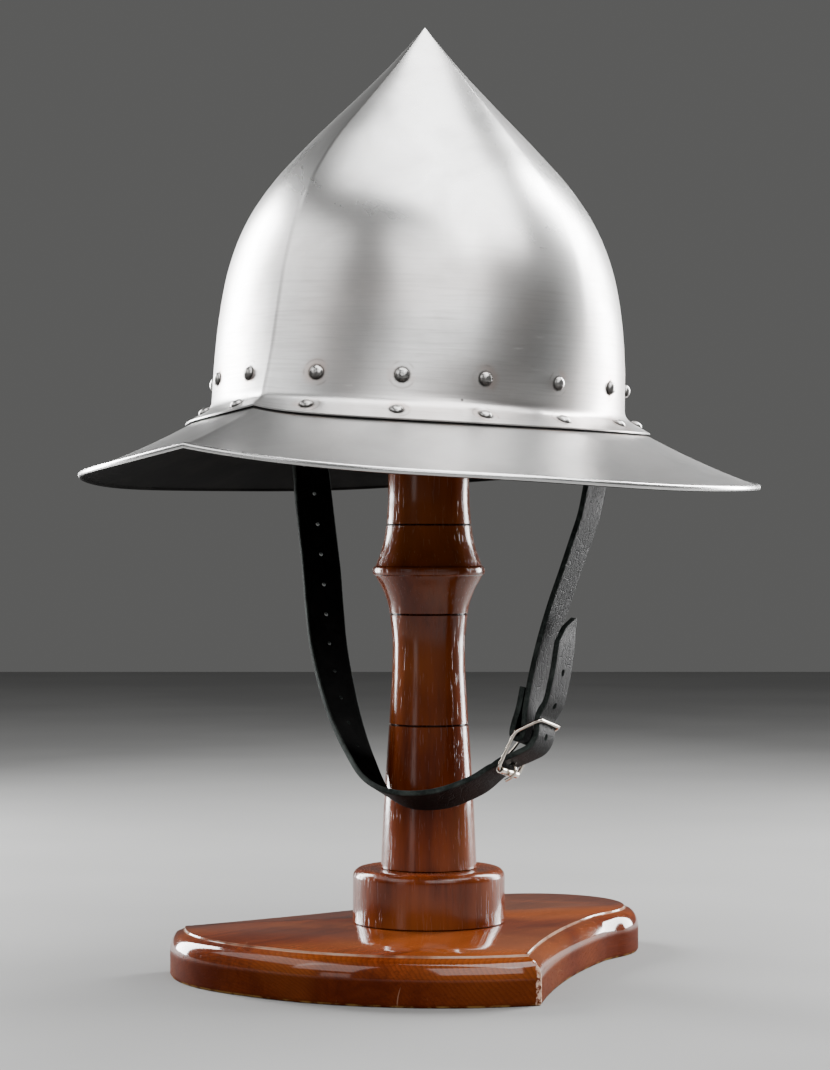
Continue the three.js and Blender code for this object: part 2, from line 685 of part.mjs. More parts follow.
function roller() {
  const half = ROLLER_LENGTH / 2;
  const outline = [
    [ROLLER_BORE, -half],
    [ROLLER_RADIUS, -half],
    [ROLLER_RADIUS, half],
    [ROLLER_BORE, half],
    [ROLLER_BORE, -half],
  ];
  const seat = { point: bucklePoint(ROLLER_BAR.along, ROLLER_BAR.out), normal: buckleAcross };
  return seated(turned(outline, 10), seat);
}

// Where the prong goes through the long strap, along the buckle from its middle bar
const PRONG_CROSSING = -14.6;

function prong() {
  const eye = Array.from({ length: 10 }, (_, k) => {
    const angle = k * 2 * Math.PI / 10;
    const reach = BUCKLE_WIRE + 0.35 + PRONG_WIRE;
    return bucklePoint(reach * Math.cos(angle), MIDDLE_BAR.out + reach * Math.sin(angle));
  });
  const arm = [
    bucklePoint(-2.3, MIDDLE_BAR.out - 0.6),
    bucklePoint(-8, -6.4),
    bucklePoint(-13, -6.2),
    bucklePoint(PRONG_CROSSING - 0.2, -4.4),
    bucklePoint(PRONG_CROSSING - 1.2, 1),
    bucklePoint(PRONG_CROSSING - 2.6, 2.9),
    bucklePoint(ROLLER_BAR.along, ROLLER_RADIUS + GAP + PRONG_WIRE + 0.2),
    bucklePoint(ROLLER_BAR.along - 4.4, 2.2),
  ];
  return joined([
    wire(eye, PRONG_WIRE, buckleAcross, true),
    wire(arm, PRONG_WIRE, buckleAcross, false),
  ]);
}

// The long strap goes inside the roller, outside the middle bar, and inside the upper bar
function longStrapRows() {
  const through = [[-24, -5], [-17, -3.4], [-8, 1], [0, 3.9], [7, 2.2], [UPPER_BAR.along, -3.8]];
  const across = { turn: BUCKLE_TURN, droop: BUCKLE_DROOP };
  return [
    ...strapTop(RIGHT_FIXING),
    ...LONG_STRAP_ROUTE,
    ...through.map(([along, out]) => {
      const { x, y, z } = bucklePoint(along, out);
      return { x, y, z, ...across };
    }),
    ...TONGUE_ROUTE.map((row) => ({ ...row, ...across })),
  ];
}

// The short strap goes round the middle bar, and its end lies back along it
function shortStrapRows() {
  const across = { turn: BUCKLE_TURN, droop: BUCKLE_DROOP };
  const up = { along: Math.cos(SHORT_STRAP_TILT), out: -Math.sin(SHORT_STRAP_TILT) };
  const off = { along: Math.sin(SHORT_STRAP_TILT), out: Math.cos(SHORT_STRAP_TILT) };
  const place = (rise, aside) => {
    const along = rise * up.along + aside * off.along;
    const out = MIDDLE_BAR.out + rise * up.out + aside * off.out;
    const { x, y, z } = bucklePoint(along, out);
    return { x, y, z, ...across };
  };
  const round = BUCKLE_WIRE + GAP + STRAP_THICK / 2;
  const fold = Array.from({ length: 7 }, (_, k) => {
    const angle = k * Math.PI / 6;
    return place(-round * Math.sin(angle), round * Math.cos(angle));
  });
  return [
    ...strapTop(LEFT_FIXING),
    ...SHORT_STRAP_ROUTE,
    place(FOLDED_END, 1.9),
    place(13, 2.1),
    place(5, 2.9),
    ...fold,
    place(5, -2.9),
    place(13, -1.9),
    place(FOLDED_END, -1.7),
  ];
}

function buildStrap() {
  const long = strapStations(longStrapRows());
  const prongLength = nearestLength(long, bucklePoint(PRONG_CROSSING - 0.7, -2.2));
  const holes = [];
  for (let k = 0; k < LONG_STRAP_HOLES; k += 1) {
    holes.push(LONG_STRAP_FIRST_HOLE + k * STRAP_HOLE_PITCH);
  }
  for (let k = 0; k < TONGUE_HOLES; k += 1) {
    holes.push(prongLength + TONGUE_FIRST_HOLE + k * STRAP_HOLE_PITCH);
  }
  const drills = holes.map((length) => strapDrill(long, length, STRAP_HOLE));
  drills.push(strapDrill(long, prongLength, PRONG_HOLE));
  drills.push(rivetDrill(upperSeat(RIGHT_FIXING)).applyMatrix4(hat.matrixWorld));
  addMesh(part, 'strap_long', cut(strapBody(long), drills), LEATHER);

  const short = strapStations(shortStrapRows());
  const slot = cleaned(new THREE.BoxGeometry(PRONG_SLOT, 13, 12));
  const frame = new THREE.Matrix4().makeBasis(buckleAcross, buckleUp, buckleOut);
  slot.applyMatrix4(frame);
  const middle = bucklePoint(-1, MIDDLE_BAR.out);
  slot.translate(middle.x, middle.y, middle.z);
  const fixing = rivetDrill(upperSeat(LEFT_FIXING)).applyMatrix4(hat.matrixWorld);
  addMesh(part, 'strap_short', cut(strapBody(short), [slot, fixing]), LEATHER);
  addMesh(part, 'buckle_frame', buckleFrame(), NICKEL);
  addMesh(part, 'buckle_roller', roller(), NICKEL);
  addMesh(part, 'buckle_prong', prong(), NICKEL);
}

// Narrowest inside radius of the crown at a height above the bend
function insideRadius(up) {
  let narrowest = Infinity;
  for (let j = 0; j < SKULL_COLUMNS; j += 1) {
    const point = skullPoint(j / SKULL_COLUMNS, up);
    narrowest = Math.min(narrowest, Math.hypot(point.x, point.y));
  }
  const slope = (smooth(SKULL, 'up', 'side', up - 2) - smooth(SKULL, 'up', 'side', up + 2)) / 4;
  return narrowest - SHEET * Math.hypot(1, slope);
}

// Turned head that carries the crown: its edge stands just clear of the inside of the skull
function buildHead() {
  const room = HEAD_RADIUS + 0.75;
  let low = 100;
  let high = 200;
  for (let k = 0; k < 40; k += 1) {
    const middle = (low + high) / 2;
    if (insideRadius(middle) > room) low = middle;
    else high = middle;
  }
  const height = BEND_HEIGHT + low;
  const profile = HEAD_PROFILE.map(({ below, radius }) => [radius, height - below]);
  const top = profile[profile.length - 1][1] + 1;
  const head = turned([[0, profile[0][1]], ...profile, [0, top]], POST_SIDES);
  addMesh(hat, 'stand_head', head, WOOD);
  return HAT_SEAT.z + profile[0][1];
}

// Outline of the board, counterclockwise from the right-hand corner
function boardOutline() {
  const { x, y, radius } = BOARD_ROUND;
  const shape = new THREE.Shape();
  shape.moveTo(BOARD_RIGHT_CORNER.x, BOARD_RIGHT_CORNER.y);
  shape.quadraticCurveTo(BOARD_RIGHT_HOLLOW.x, BOARD_RIGHT_HOLLOW.y, x + radius, y - 12);
  shape.absarc(x, y, radius, -0.02, Math.PI + 0.02, false);
  const left = BOARD_LEFT_CORNER;
  const right = BOARD_RIGHT_CORNER;
  shape.quadraticCurveTo(BOARD_LEFT_HOLLOW.x, BOARD_LEFT_HOLLOW.y, left.x, left.y);
  shape.bezierCurveTo(-70, BOARD_BOW.y - 2, -30, BOARD_BOW.y, BOARD_BOW.x, BOARD_BOW.y);
  shape.bezierCurveTo(48, BOARD_BOW.y + 0.5, 100, -112, right.x, right.y);
  const points = shape.getPoints(8);
  if (points[0].distanceTo(points[points.length - 1]) < 0.01) points.pop();
  return points;
}

// Outline drawn in by an inset, square to each of its edges
function insetOutline(outline, inset) {
  return outline.map((point, i) => {
    const last = outline[(i + outline.length - 1) % outline.length];
    const next = outline[(i + 1) % outline.length];
    const before = point.clone().sub(last).normalize();
    const after = next.clone().sub(point).normalize();
    const inward = new THREE.Vector2(-before.y - after.y, before.x + after.x).normalize();
    const share = Math.max(inward.dot(new THREE.Vector2(-before.y, before.x)), 0.5);
    return point.clone().addScaledVector(inward, inset / share);
  });
}

function buildStand() {
  const headBottom = buildHead();
  const outline = boardOutline();
  const layers = BOARD_EDGE.map(({ z, inset }) => {
    return insetOutline(outline, inset).map((p) => new THREE.Vector3(p.x, p.y, z));
  });
  addMesh(part, 'stand_board', loft(layers, false), WOOD);
  const bossBottom = BOARD_THICK + GAP;
  addMesh(part, 'stand_boss', turned([
    [0, bossBottom],
    [BOSS_RADIUS, bossBottom],
    [BOSS_RADIUS, BOSS_TOP - BOSS_EDGE],
    [BOSS_RADIUS - BOSS_EDGE * 0.3, BOSS_TOP - BOSS_EDGE * 0.3],
    [BOSS_RADIUS - BOSS_EDGE, BOSS_TOP],
    [0, BOSS_TOP],
  ], 22), WOOD);
  const postTop = headBottom - 1;
  const profile = POST_PROFILE.map(({ z, radius }) => [radius, z]);
  const topRadius = profile[profile.length - 1][0];
  const postOutline = [[0, profile[0][1]], ...profile, [topRadius, postTop], [0, postTop]];
  addMesh(part, 'stand_post', turned(postOutline, POST_SIDES), WOOD);
}

buildHat();
buildStrap();
buildStand();

export default part;
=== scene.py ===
"""Kettle hat of riveted sheet steel with a buckled leather chin strap, on a turned wooden stand.

Tables are in millimetres, in the frame of the CAD model: the origin is on the underside of the
stand's board, +Z is up, the hat's front faces -Y and the wearer's left side is toward +X.
"""

import logging
import math
from dataclasses import dataclass, field
from enum import Enum
from typing import Callable, Iterable, Mapping, Optional, Sequence, Union

import bmesh
import bpy
import numpy as np
from mathutils import Matrix, Vector


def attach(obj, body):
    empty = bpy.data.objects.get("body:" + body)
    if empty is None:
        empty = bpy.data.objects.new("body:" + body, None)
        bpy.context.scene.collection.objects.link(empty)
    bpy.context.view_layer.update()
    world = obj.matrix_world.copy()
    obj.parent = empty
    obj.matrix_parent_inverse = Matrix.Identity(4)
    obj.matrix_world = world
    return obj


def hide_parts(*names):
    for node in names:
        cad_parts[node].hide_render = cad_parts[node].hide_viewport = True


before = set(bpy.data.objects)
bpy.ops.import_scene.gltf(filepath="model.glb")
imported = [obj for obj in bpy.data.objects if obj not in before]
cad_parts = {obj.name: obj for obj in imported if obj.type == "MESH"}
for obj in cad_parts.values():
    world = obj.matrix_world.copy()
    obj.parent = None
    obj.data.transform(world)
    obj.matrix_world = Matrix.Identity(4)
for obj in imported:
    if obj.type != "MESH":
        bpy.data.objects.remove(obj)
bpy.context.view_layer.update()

log = logging.getLogger("kettle_hat")

# Metres in a millimetre
MM = 0.001
FULL_TURN = 2 * np.pi
# Distance in millimetres that stands for no rivet near
FAR_AWAY = 1e3
# Name that marks what is near the rivets, and the rivets that hold the straps
RIVET_MARK = "rivet"
LEFT_RIVET, RIGHT_RIVET = 4, 11
# Direction of the photograph's view from above
VIEW_BEARING = math.radians(37.3)
# How far the pull of a quarter circle's curve reaches, as a share of its radius
QUARTER_HANDLE = 0.5523

Array = np.ndarray
Colour = tuple[float, float, float]
Place = tuple[float, float, float]
Number = Union[float, int]
Material = bpy.types.Material
Piece = bpy.types.Object


class Slot(Enum):
    """Material slots of the part's record."""

    STEEL = "steel"
    RIVET = "rivet_steel"
    LEATHER = "leather"
    NICKEL = "nickel"
    WOOD = "wood"


# Tables and curves


def rows(columns: str, *values: Sequence[float]) -> dict[str, Array]:
    """Make a table with named columns.

    Args:
        columns: Names of the columns, with spaces between them.
        values: One sequence of numbers for each row.

    Returns:
        The columns as arrays, by name.
    """
    grid = np.array(values, float)
    return {name: grid[:, i] for i, name in enumerate(columns.split())}


def smooth(places: Array, values: Array, at: Array) -> Array:
    """Read a table's column between its rows, along a smooth curve.

    Args:
        places: Where the rows stand, rising.
        values: The column's value in each row.
        at: Places to read, of any shape.

    Returns:
        The values there, in the shape of `at`.
    """
    at = np.asarray(at, float)
    last = len(places) - 1
    i = np.clip(np.searchsorted(places, at, side="right") - 1, 0, last - 1)
    low = np.maximum(np.arange(last + 1) - 1, 0)
    high = np.minimum(np.arange(last + 1) + 1, last)
    slopes = (values[high] - values[low]) / (places[high] - places[low])
    span = places[i + 1] - places[i]
    t = (at - places[i]) / span
    s = t * t * (3 - 2 * t)
    rise = slopes[i] * span * t * (1 - t) ** 2 - slopes[i + 1] * span * t * t * (1 - t)
    return values[i] * (1 - s) + values[i + 1] * s + rise


def unit(vectors: Array) -> Array:
    """Scale vectors, on the last axis, to length one."""
    return vectors / np.maximum(np.linalg.norm(vectors, axis=-1, keepdims=True), 1e-12)


class Route:
    """Smooth curve through points, read by its length."""

    def __init__(self, points: Array, steps: int = 48) -> None:
        """Lay the curve through the points.

        Args:
            points: Points on the curve, in order.
            steps: Short chords between each two points.
        """
        self.points = np.asarray(points, float)
        ends = [2 * self.points[0] - self.points[1], 2 * self.points[-1] - self.points[-2]]
        held = np.vstack([ends[0], self.points, ends[1]])
        fine, knots = [], []
        for k in range(len(self.points) - 1):
            t = np.linspace(0, 1, steps, endpoint=False)
            fine.append(self._span(held[k : k + 4], t))
            knots.append(k + t)
        self.fine = np.vstack([*fine, self.points[-1:]])
        self.knots = np.concatenate([*knots, [len(self.points) - 1.0]])
        chords = np.linalg.norm(np.diff(self.fine, axis=0), axis=1)
        self.lengths = np.concatenate([[0.0], np.cumsum(chords)])

    @staticmethod
    def _span(four: Array, t: Array) -> Array:
        """Evaluate one span of a centripetal curve.

        Args:
            four: The span's two ends, with the point before and the point after.
            t: Places along the span, from 0 to 1.

        Returns:
            One point for each place.
        """
        x0, x1, x2, x3 = four
        d0, d1, d2 = (max(math.sqrt(np.linalg.norm(b - a)), 1e-4) for a, b in zip(four[:-1], four[1:]))
        start = ((x1 - x0) / d0 - (x2 - x0) / (d0 + d1) + (x2 - x1) / d1) * d1
        end = ((x2 - x1) / d1 - (x3 - x1) / (d1 + d2) + (x3 - x2) / d2) * d1
        t = t[:, None]
        # Cubic with these ends and these slopes at them
        square = -3 * x1 + 3 * x2 - 2 * start - end
        cube = 2 * x1 - 2 * x2 + start + end
        return x1 + start * t + square * t**2 + cube * t**3

    @property
    def length(self) -> float:
        """Length of the whole curve."""
        return float(self.lengths[-1])

    def at(self, length: Union[Array, float]) -> Array:
        """Points at given lengths along the curve."""
        return np.stack([np.interp(length, self.lengths, self.fine[:, k]) for k in range(3)], -1)

    def tangent(self, length: Union[Array, float], reach: float = 0.4) -> Array:
        """Unit directions of the curve at given lengths."""
        return unit(self.at(np.asarray(length) + reach) - self.at(np.asarray(length) - reach))

    def knot(self, length: Union[Array, float]) -> Array:
        """Fractional number of the point that each length lies at."""
        return np.interp(length, self.lengths, self.knots)


def rounded_corners(points: Array, radius: float, steps: int = 6) -> Array:
    """Round the corners of a closed line.

    Args:
        points: Corners of the line.
        radius: How far from each corner its bend starts.
        steps: Points in each bend.

    Returns:
        The closed line with its corners rounded.
    """
    out = []
    for i, corner in enumerate(points):
        before = unit(points[i - 1] - corner) * radius
        after = unit(points[(i + 1) % len(points)] - corner) * radius
        for t in np.linspace(0, 1, steps):
            out.append(corner + before * (1 - t) ** 2 + after * t**2)
    return np.array(out)


# Meshes


class MeshWork:
    """Vertices and faces of one piece, gathered in millimetres and made into an object."""

    def __init__(self) -> None:
        """Start with nothing."""
        self.points: list[Array] = []
        self.faces: list[tuple[int, ...]] = []
        self.finishes: list[int] = []
        self.uvs: list[Array] = []
        self.count = 0

    def sheet(
        self,
        grid: Array,
        ring_rows: bool = False,
        ring_columns: bool = True,
        finish: Union[int, Callable[[int], int]] = 0,
        uv: Optional[Array] = None,
    ) -> int:
        """Add a grid of points with faces between them.

        Args:
            grid: Points as rows by columns by three.
            ring_rows: Whether the last row joins the first.
            ring_columns: Whether the last column joins the first.
            finish: Material number, or a function from row to material number.
            uv: Two flat coordinates for each point, or None.

        Returns:
            Number of the grid's first point.
        """
        n_rows, n_columns = grid.shape[:2]
        first = self.count
        self.points.append(grid.reshape(-1, 3))
        self.uvs.append(np.zeros((n_rows * n_columns, 2)) if uv is None else uv.reshape(-1, 2))
        self.count += n_rows * n_columns
        for j in range(n_rows if ring_rows else n_rows - 1):
            k = (j + 1) % n_rows
            number = finish(j) if callable(finish) else finish
            for i in range(n_columns if ring_columns else n_columns - 1):
                m = (i + 1) % n_columns
                corners = (j * n_columns + i, j * n_columns + m, k * n_columns + m, k * n_columns + i)
                self.faces.append(tuple(first + c for c in corners))
                self.finishes.append(number)
        return first

    def cap(self, ring: Sequence[int], finish: int = 0, flip: bool = False) -> None:
        """Close a ring of points with one face.

        Args:
            ring: Numbers of the points around it.
            finish: Material number.
            flip: Whether to turn the face over.
        """
        self.faces.append(tuple(reversed(ring)) if flip else tuple(ring))
        self.finishes.append(finish)

    def tube(self, grid: Array, finish: Union[int, Callable[[int], int]] = 0, ends: int = 0) -> None:
        """Add a grid whose first and last rows are closed.

        Args:
            grid: Points as rows by columns by three.
            finish: Material number of the grid, or a function from row to material number.
            ends: Material number of its two ends.
        """
        n_rows, n_columns = grid.shape[:2]
        first = self.sheet(grid, finish=finish)
        last = first + (n_rows - 1) * n_columns
        self.cap(range(first, first + n_columns), ends)
        self.cap(range(last, last + n_columns), ends, flip=True)

    def piece(self, name: str, materials: Sequence[Material], crease: float = 40) -> Piece:
        """Make the object.

        Args:
            name: Name of the piece.
            materials: Its materials, by number.
            crease: Angle in degrees over which an edge is sharp.

        Returns:
            The new object, linked to the scene.
        """
        mesh = bpy.data.meshes.new(name)
        points = np.vstack(self.points) * MM
        mesh.from_pydata(points.tolist(), [], self.faces)
        for material in materials:
            mesh.materials.append(material)
        mesh.polygons.foreach_set("material_index", np.array(self.finishes, np.int32))
        uvs = np.vstack(self.uvs)
        layer = mesh.uv_layers.new(name="flat")
        corners = np.empty(len(mesh.loops), np.int32)
        mesh.loops.foreach_get("vertex_index", corners)
        layer.data.foreach_set("uv", uvs[corners].astype(np.float32).ravel())
        mesh.validate()
        piece = bpy.data.objects.new(name, mesh)
        bpy.context.scene.collection.objects.link(piece)
        finish_mesh(piece, crease)
        return piece


def finish_mesh(piece: Piece, crease: float) -> None:
    """Merge doubled points, turn the faces outward and smooth the shading.

    Args:
        piece: Object whose mesh is finished.
        crease: Angle in degrees over which an edge is sharp.
    """
    work = bmesh.new()
    work.from_mesh(piece.data)
    bmesh.ops.remove_doubles(work, verts=work.verts, dist=2e-6)
    bmesh.ops.dissolve_degenerate(work, edges=work.edges, dist=1e-6)
    bmesh.ops.recalc_face_normals(work, faces=work.faces)
    work.to_mesh(piece.data)
    work.free()
    piece.data.polygons.foreach_set("use_smooth", np.ones(len(piece.data.polygons), bool))
    piece.data.set_sharp_from_angle(angle=math.radians(crease))


def section_ring(centres: Array, first: Array, second: Array, outline: Array) -> Array:
    """Lay a closed outline at each point of a line.

    Args:
        centres: Points of the line.
        first: Unit direction of the outline's first coordinate at each point.
        second: Unit direction of its second coordinate at each point.
        outline: Points of the outline, the same at each point or one outline each.

    Returns:
        Grid of points, one row for each point of the line.
    """
    if outline.ndim == 2:
        outline = np.broadcast_to(outline, (len(centres), *outline.shape))
    return centres[:, None] + outline[..., :1] * first[:, None] + outline[..., 1:] * second[:, None]


def wire(work: MeshWork, line: Array, radius: float, upright: Array, ring: bool, sides: int = 14) -> None:
    """Add round wire along a line.

    Args:
        work: Mesh that takes it.
        line: Points along the wire's middle.
        radius: Radius of the wire.
        upright: Direction that the line never runs along.
        ring: Whether the wire closes on itself.
        sides: Points around the wire.
    """
    if ring:
        tangent = unit(np.roll(line, -1, 0) - np.roll(line, 1, 0))
    else:
        tangent = unit(np.gradient(line, axis=0))
    first = unit(np.cross(tangent, upright))
    second = np.cross(first, tangent)
    angle = np.linspace(0, FULL_TURN, sides, endpoint=False)
    outline = radius * np.stack([np.cos(angle), np.sin(angle)], -1)
    grid = section_ring(line, first, second, outline)
    if ring:
        work.sheet(grid, ring_rows=True)
    else:
        work.tube(grid)


def turned(profile: Sequence[Sequence[float]], sides: int) -> MeshWork:
    """Make a body turned about +Z.

    Args:
        profile: Radius and height pairs, from axis to axis.
        sides: Points around the axis.

    Returns:
        The mesh.
    """
    angle = np.linspace(0, FULL_TURN, sides, endpoint=False)
    radius, height = (column[:, None] for column in np.array(profile, float).T)
    work = MeshWork()
    work.sheet(np.stack([radius * np.cos(angle), radius * np.sin(angle), height + 0 * angle], -1))
    return work


def without(piece: Piece, cutters: Sequence[Piece], crease: float) -> None:
    """Cut other objects out of a piece and delete them.

    Args:
        piece: Object that is cut.
        cutters: Closed objects to cut away.
        crease: Angle in degrees over which an edge is sharp.
    """
    for cutter in cutters:
        modifier = piece.modifiers.new("cut", "BOOLEAN")
        modifier.operation = "DIFFERENCE"
        modifier.solver = "EXACT"
        modifier.object = cutter
    bpy.context.view_layer.update()
    shaped = piece.evaluated_get(bpy.context.evaluated_depsgraph_get())
    mesh = bpy.data.meshes.new_from_object(shaped)
    piece.modifiers.clear()
    piece.data = mesh
    mesh.name = piece.name
    for cutter in cutters:
        bpy.data.objects.remove(cutter)
    finish_mesh(piece, crease)


def seated(piece: Piece, point: Array, normal: Array) -> None:
    """Move a piece made about +Z so that its origin and +Z lie on a seat.

    Args:
        piece: Object to move; its mesh is moved, not the object.
        point: Seat's place in millimetres.
        normal: Direction of the seat.
    """
    turn = Vector((0, 0, 1)).rotation_difference(Vector(normal))
    piece.data.transform(Matrix.Translation(Vector(point) * MM) @ turn.to_matrix().to_4x4())


# Materials


class Signal:
    """One output of a material's nodes. Arithmetic on it adds Math nodes."""

    def __init__(self, bench: "Bench", socket: bpy.types.NodeSocket) -> None:
        """Wrap a socket.

        Args:
            bench: Material that the socket belongs to.
            socket: The output socket.
        """
        self.bench = bench
        self.socket = socket

    def _math(self, operation: str, *others: Union["Signal", Number], flip: bool = False) -> "Signal":
        """Add a Math node.

        Args:
            operation: Name of the operation.
            others: Its other operands.
            flip: Whether this signal comes second.

        Returns:
            The node's result.
        """
        terms = [self, *others]
        if flip:
            terms.reverse()
        return self.bench.node("ShaderNodeMath", {"operation": operation}, dict(enumerate(terms)))

    def __add__(self, other: Union["Signal", Number]) -> "Signal":
        """Sum."""
        return self._math("ADD", other)

    __radd__ = __add__

    def __sub__(self, other: Union["Signal", Number]) -> "Signal":
        """Difference."""
        return self._math("SUBTRACT", other)

    def __rsub__(self, other: Number) -> "Signal":
        """Difference, reflected."""
        return self._math("SUBTRACT", other, flip=True)

    def __mul__(self, other: Union["Signal", Number]) -> "Signal":
        """Product."""
        return self._math("MULTIPLY", other)

    __rmul__ = __mul__

    def span(self, low: float, high: float, to_low: float = 0, to_high: float = 1) -> "Signal":
        """Map a range smoothly to another, and hold it there.

        Args:
            low: Start of the range.
            high: End of the range.
            to_low: Result at its start.
            to_high: Result at its end.

        Returns:
            The mapped signal.
        """
        settings = {"interpolation_type": "SMOOTHSTEP"}
        inputs = {0: self, 1: low, 2: high, 3: to_low, 4: to_high}
        return self.bench.node("ShaderNodeMapRange", settings, inputs)

    def ring(self, radius: float, width: float) -> "Signal":
        """Soft line where this signal has one value.

        Args:
            radius: Value on the line.
            width: How far from it the line fades out.

        Returns:
            One on the line, and zero away from it.
        """
        return self.span(radius - width, radius) * self.span(radius, radius + width, 1, 0)


class Bench:
    """Nodes of one material."""

    def __init__(self, name: str) -> None:
        """Make the material with an empty Principled shader.

        Args:
            name: Name of the material.
        """
        self.material = bpy.data.materials.new(name)
        self.material.use_nodes = True
        self.tree = self.material.node_tree
        self.tree.nodes.clear()
        self.surface = self.tree.nodes.new("ShaderNodeBsdfPrincipled")
        output = self.tree.nodes.new("ShaderNodeOutputMaterial")
        self.tree.links.new(self.surface.outputs[0], output.inputs["Surface"])

    def node(
        self,
        kind: str,
        settings: Optional[Mapping[str, object]] = None,
        inputs: Optional[Mapping[Union[int, str], object]] = None,
        output: Union[int, str] = 0,
    ) -> Signal:
        """Add a node.

        Args:
            kind: Type of the node.
            settings: Its settings, set first.
            inputs: Values or signals for its sockets, by name or number.
            output: Which output is wanted.

        Returns:
            The wanted output.
        """
        made = self.tree.nodes.new(kind)
        for key, value in (settings or {}).items():
            setattr(made, key, value)
        for key, value in (inputs or {}).items():
            self.feed(made.inputs[key], value)
        return Signal(self, made.outputs[output])

    def feed(self, socket: bpy.types.NodeSocket, value: object) -> None:
        """Link a signal to a socket, or set its value.

        Args:
            socket: The input socket.
            value: A signal, a colour, a vector or a number.
        """
        if isinstance(value, Signal):
            self.tree.links.new(value.socket, socket)
        elif isinstance(value, tuple) and socket.type == "RGBA":
            socket.default_value = (*value[:3], 1)
        else:
            socket.default_value = value

    def mix(self, factor: Signal, first: Union[Signal, Colour], second: Colour) -> Signal:
        """Mix two colours.

        Args:
            factor: Share of the second.
            first: First colour or signal.
            second: Second colour.

        Returns:
            The mixed colour.
        """
        settings = {"data_type": "RGBA", "clamp_factor": True}
        return self.node("ShaderNodeMix", settings, {0: factor, 6: first, 7: second}, 2)

    def place(self, scale: Place = (1, 1, 1), output: str = "Object") -> Signal:
        """Coordinates stretched along each axis.

        Args:
            scale: Factor on each axis.
            output: Which coordinates are read.

        Returns:
            The coordinates.
        """
        base = self.node("ShaderNodeTexCoord", None, None, output)
        return self.vector("MULTIPLY", base, scale)

    def vector(self, operation: str, first: Signal, second: Place, output: str = "Vector") -> Signal:
        """Vector maths on coordinates.

        Args:
            operation: Name of the operation.
            first: Coordinates.
            second: The other vector.
            output: Which output is wanted.

        Returns:
            The wanted output.
        """
        return self.node("ShaderNodeVectorMath", {"operation": operation}, {0: first, 1: second}, output)

    def noise(
        self, place: Signal, scale: float, detail: float = 3, rough: float = 0.55, warp: float = 0
    ) -> Signal:
        """Cloudy noise.

        Args:
            place: Coordinates.
            scale: Size of the clouds, as waves in one unit.
            detail: How many finer layers it has.
            rough: Weight of the finer layers.
            warp: How much it is distorted.

        Returns:
            Noise about 0.5.
        """
        inputs = {"Vector": place, "Scale": scale, "Detail": detail, "Roughness": rough, "Distortion": warp}
        return self.node("ShaderNodeTexNoise", None, inputs)

    def cells(self, place: Signal, scale: float, feature: str = "F1") -> Signal:
        """Distance pattern of scattered points.

        Args:
            place: Coordinates.
            scale: Cells in one unit.
            feature: Which distance is read.

        Returns:
            The distance.
        """
        settings, inputs = {"feature": feature}, {"Vector": place, "Scale": scale}
        return self.node("ShaderNodeTexVoronoi", settings, inputs)

    def axis(self, place: Signal, name: str) -> Signal:
        """One coordinate of a place."""
        return self.node("ShaderNodeSeparateXYZ", None, {0: place}, name)

    def bump(self, height: Signal, distance: float, under: Optional[Signal] = None) -> Signal:
        """Raise the surface's shading by a height.

        Args:
            height: Height signal.
            distance: Height in metres that a value of one stands for.
            under: Another bump that this one lies on.

        Returns:
            The normal.
        """
        inputs: dict[Union[int, str], object] = {"Height": height, "Distance": distance, "Strength": 1}
        if under is not None:
            inputs["Normal"] = under
        return self.node("ShaderNodeBump", None, inputs)

    def finish(self, **sockets: object) -> Material:
        """Feed the shader and give the material.

        Args:
            sockets: Values or signals by socket name, with underscores for spaces.

        Returns:
            The material.
        """
        for key, value in sockets.items():
            self.feed(self.surface.inputs[key.replace("_", " ")], value)
        return self.material


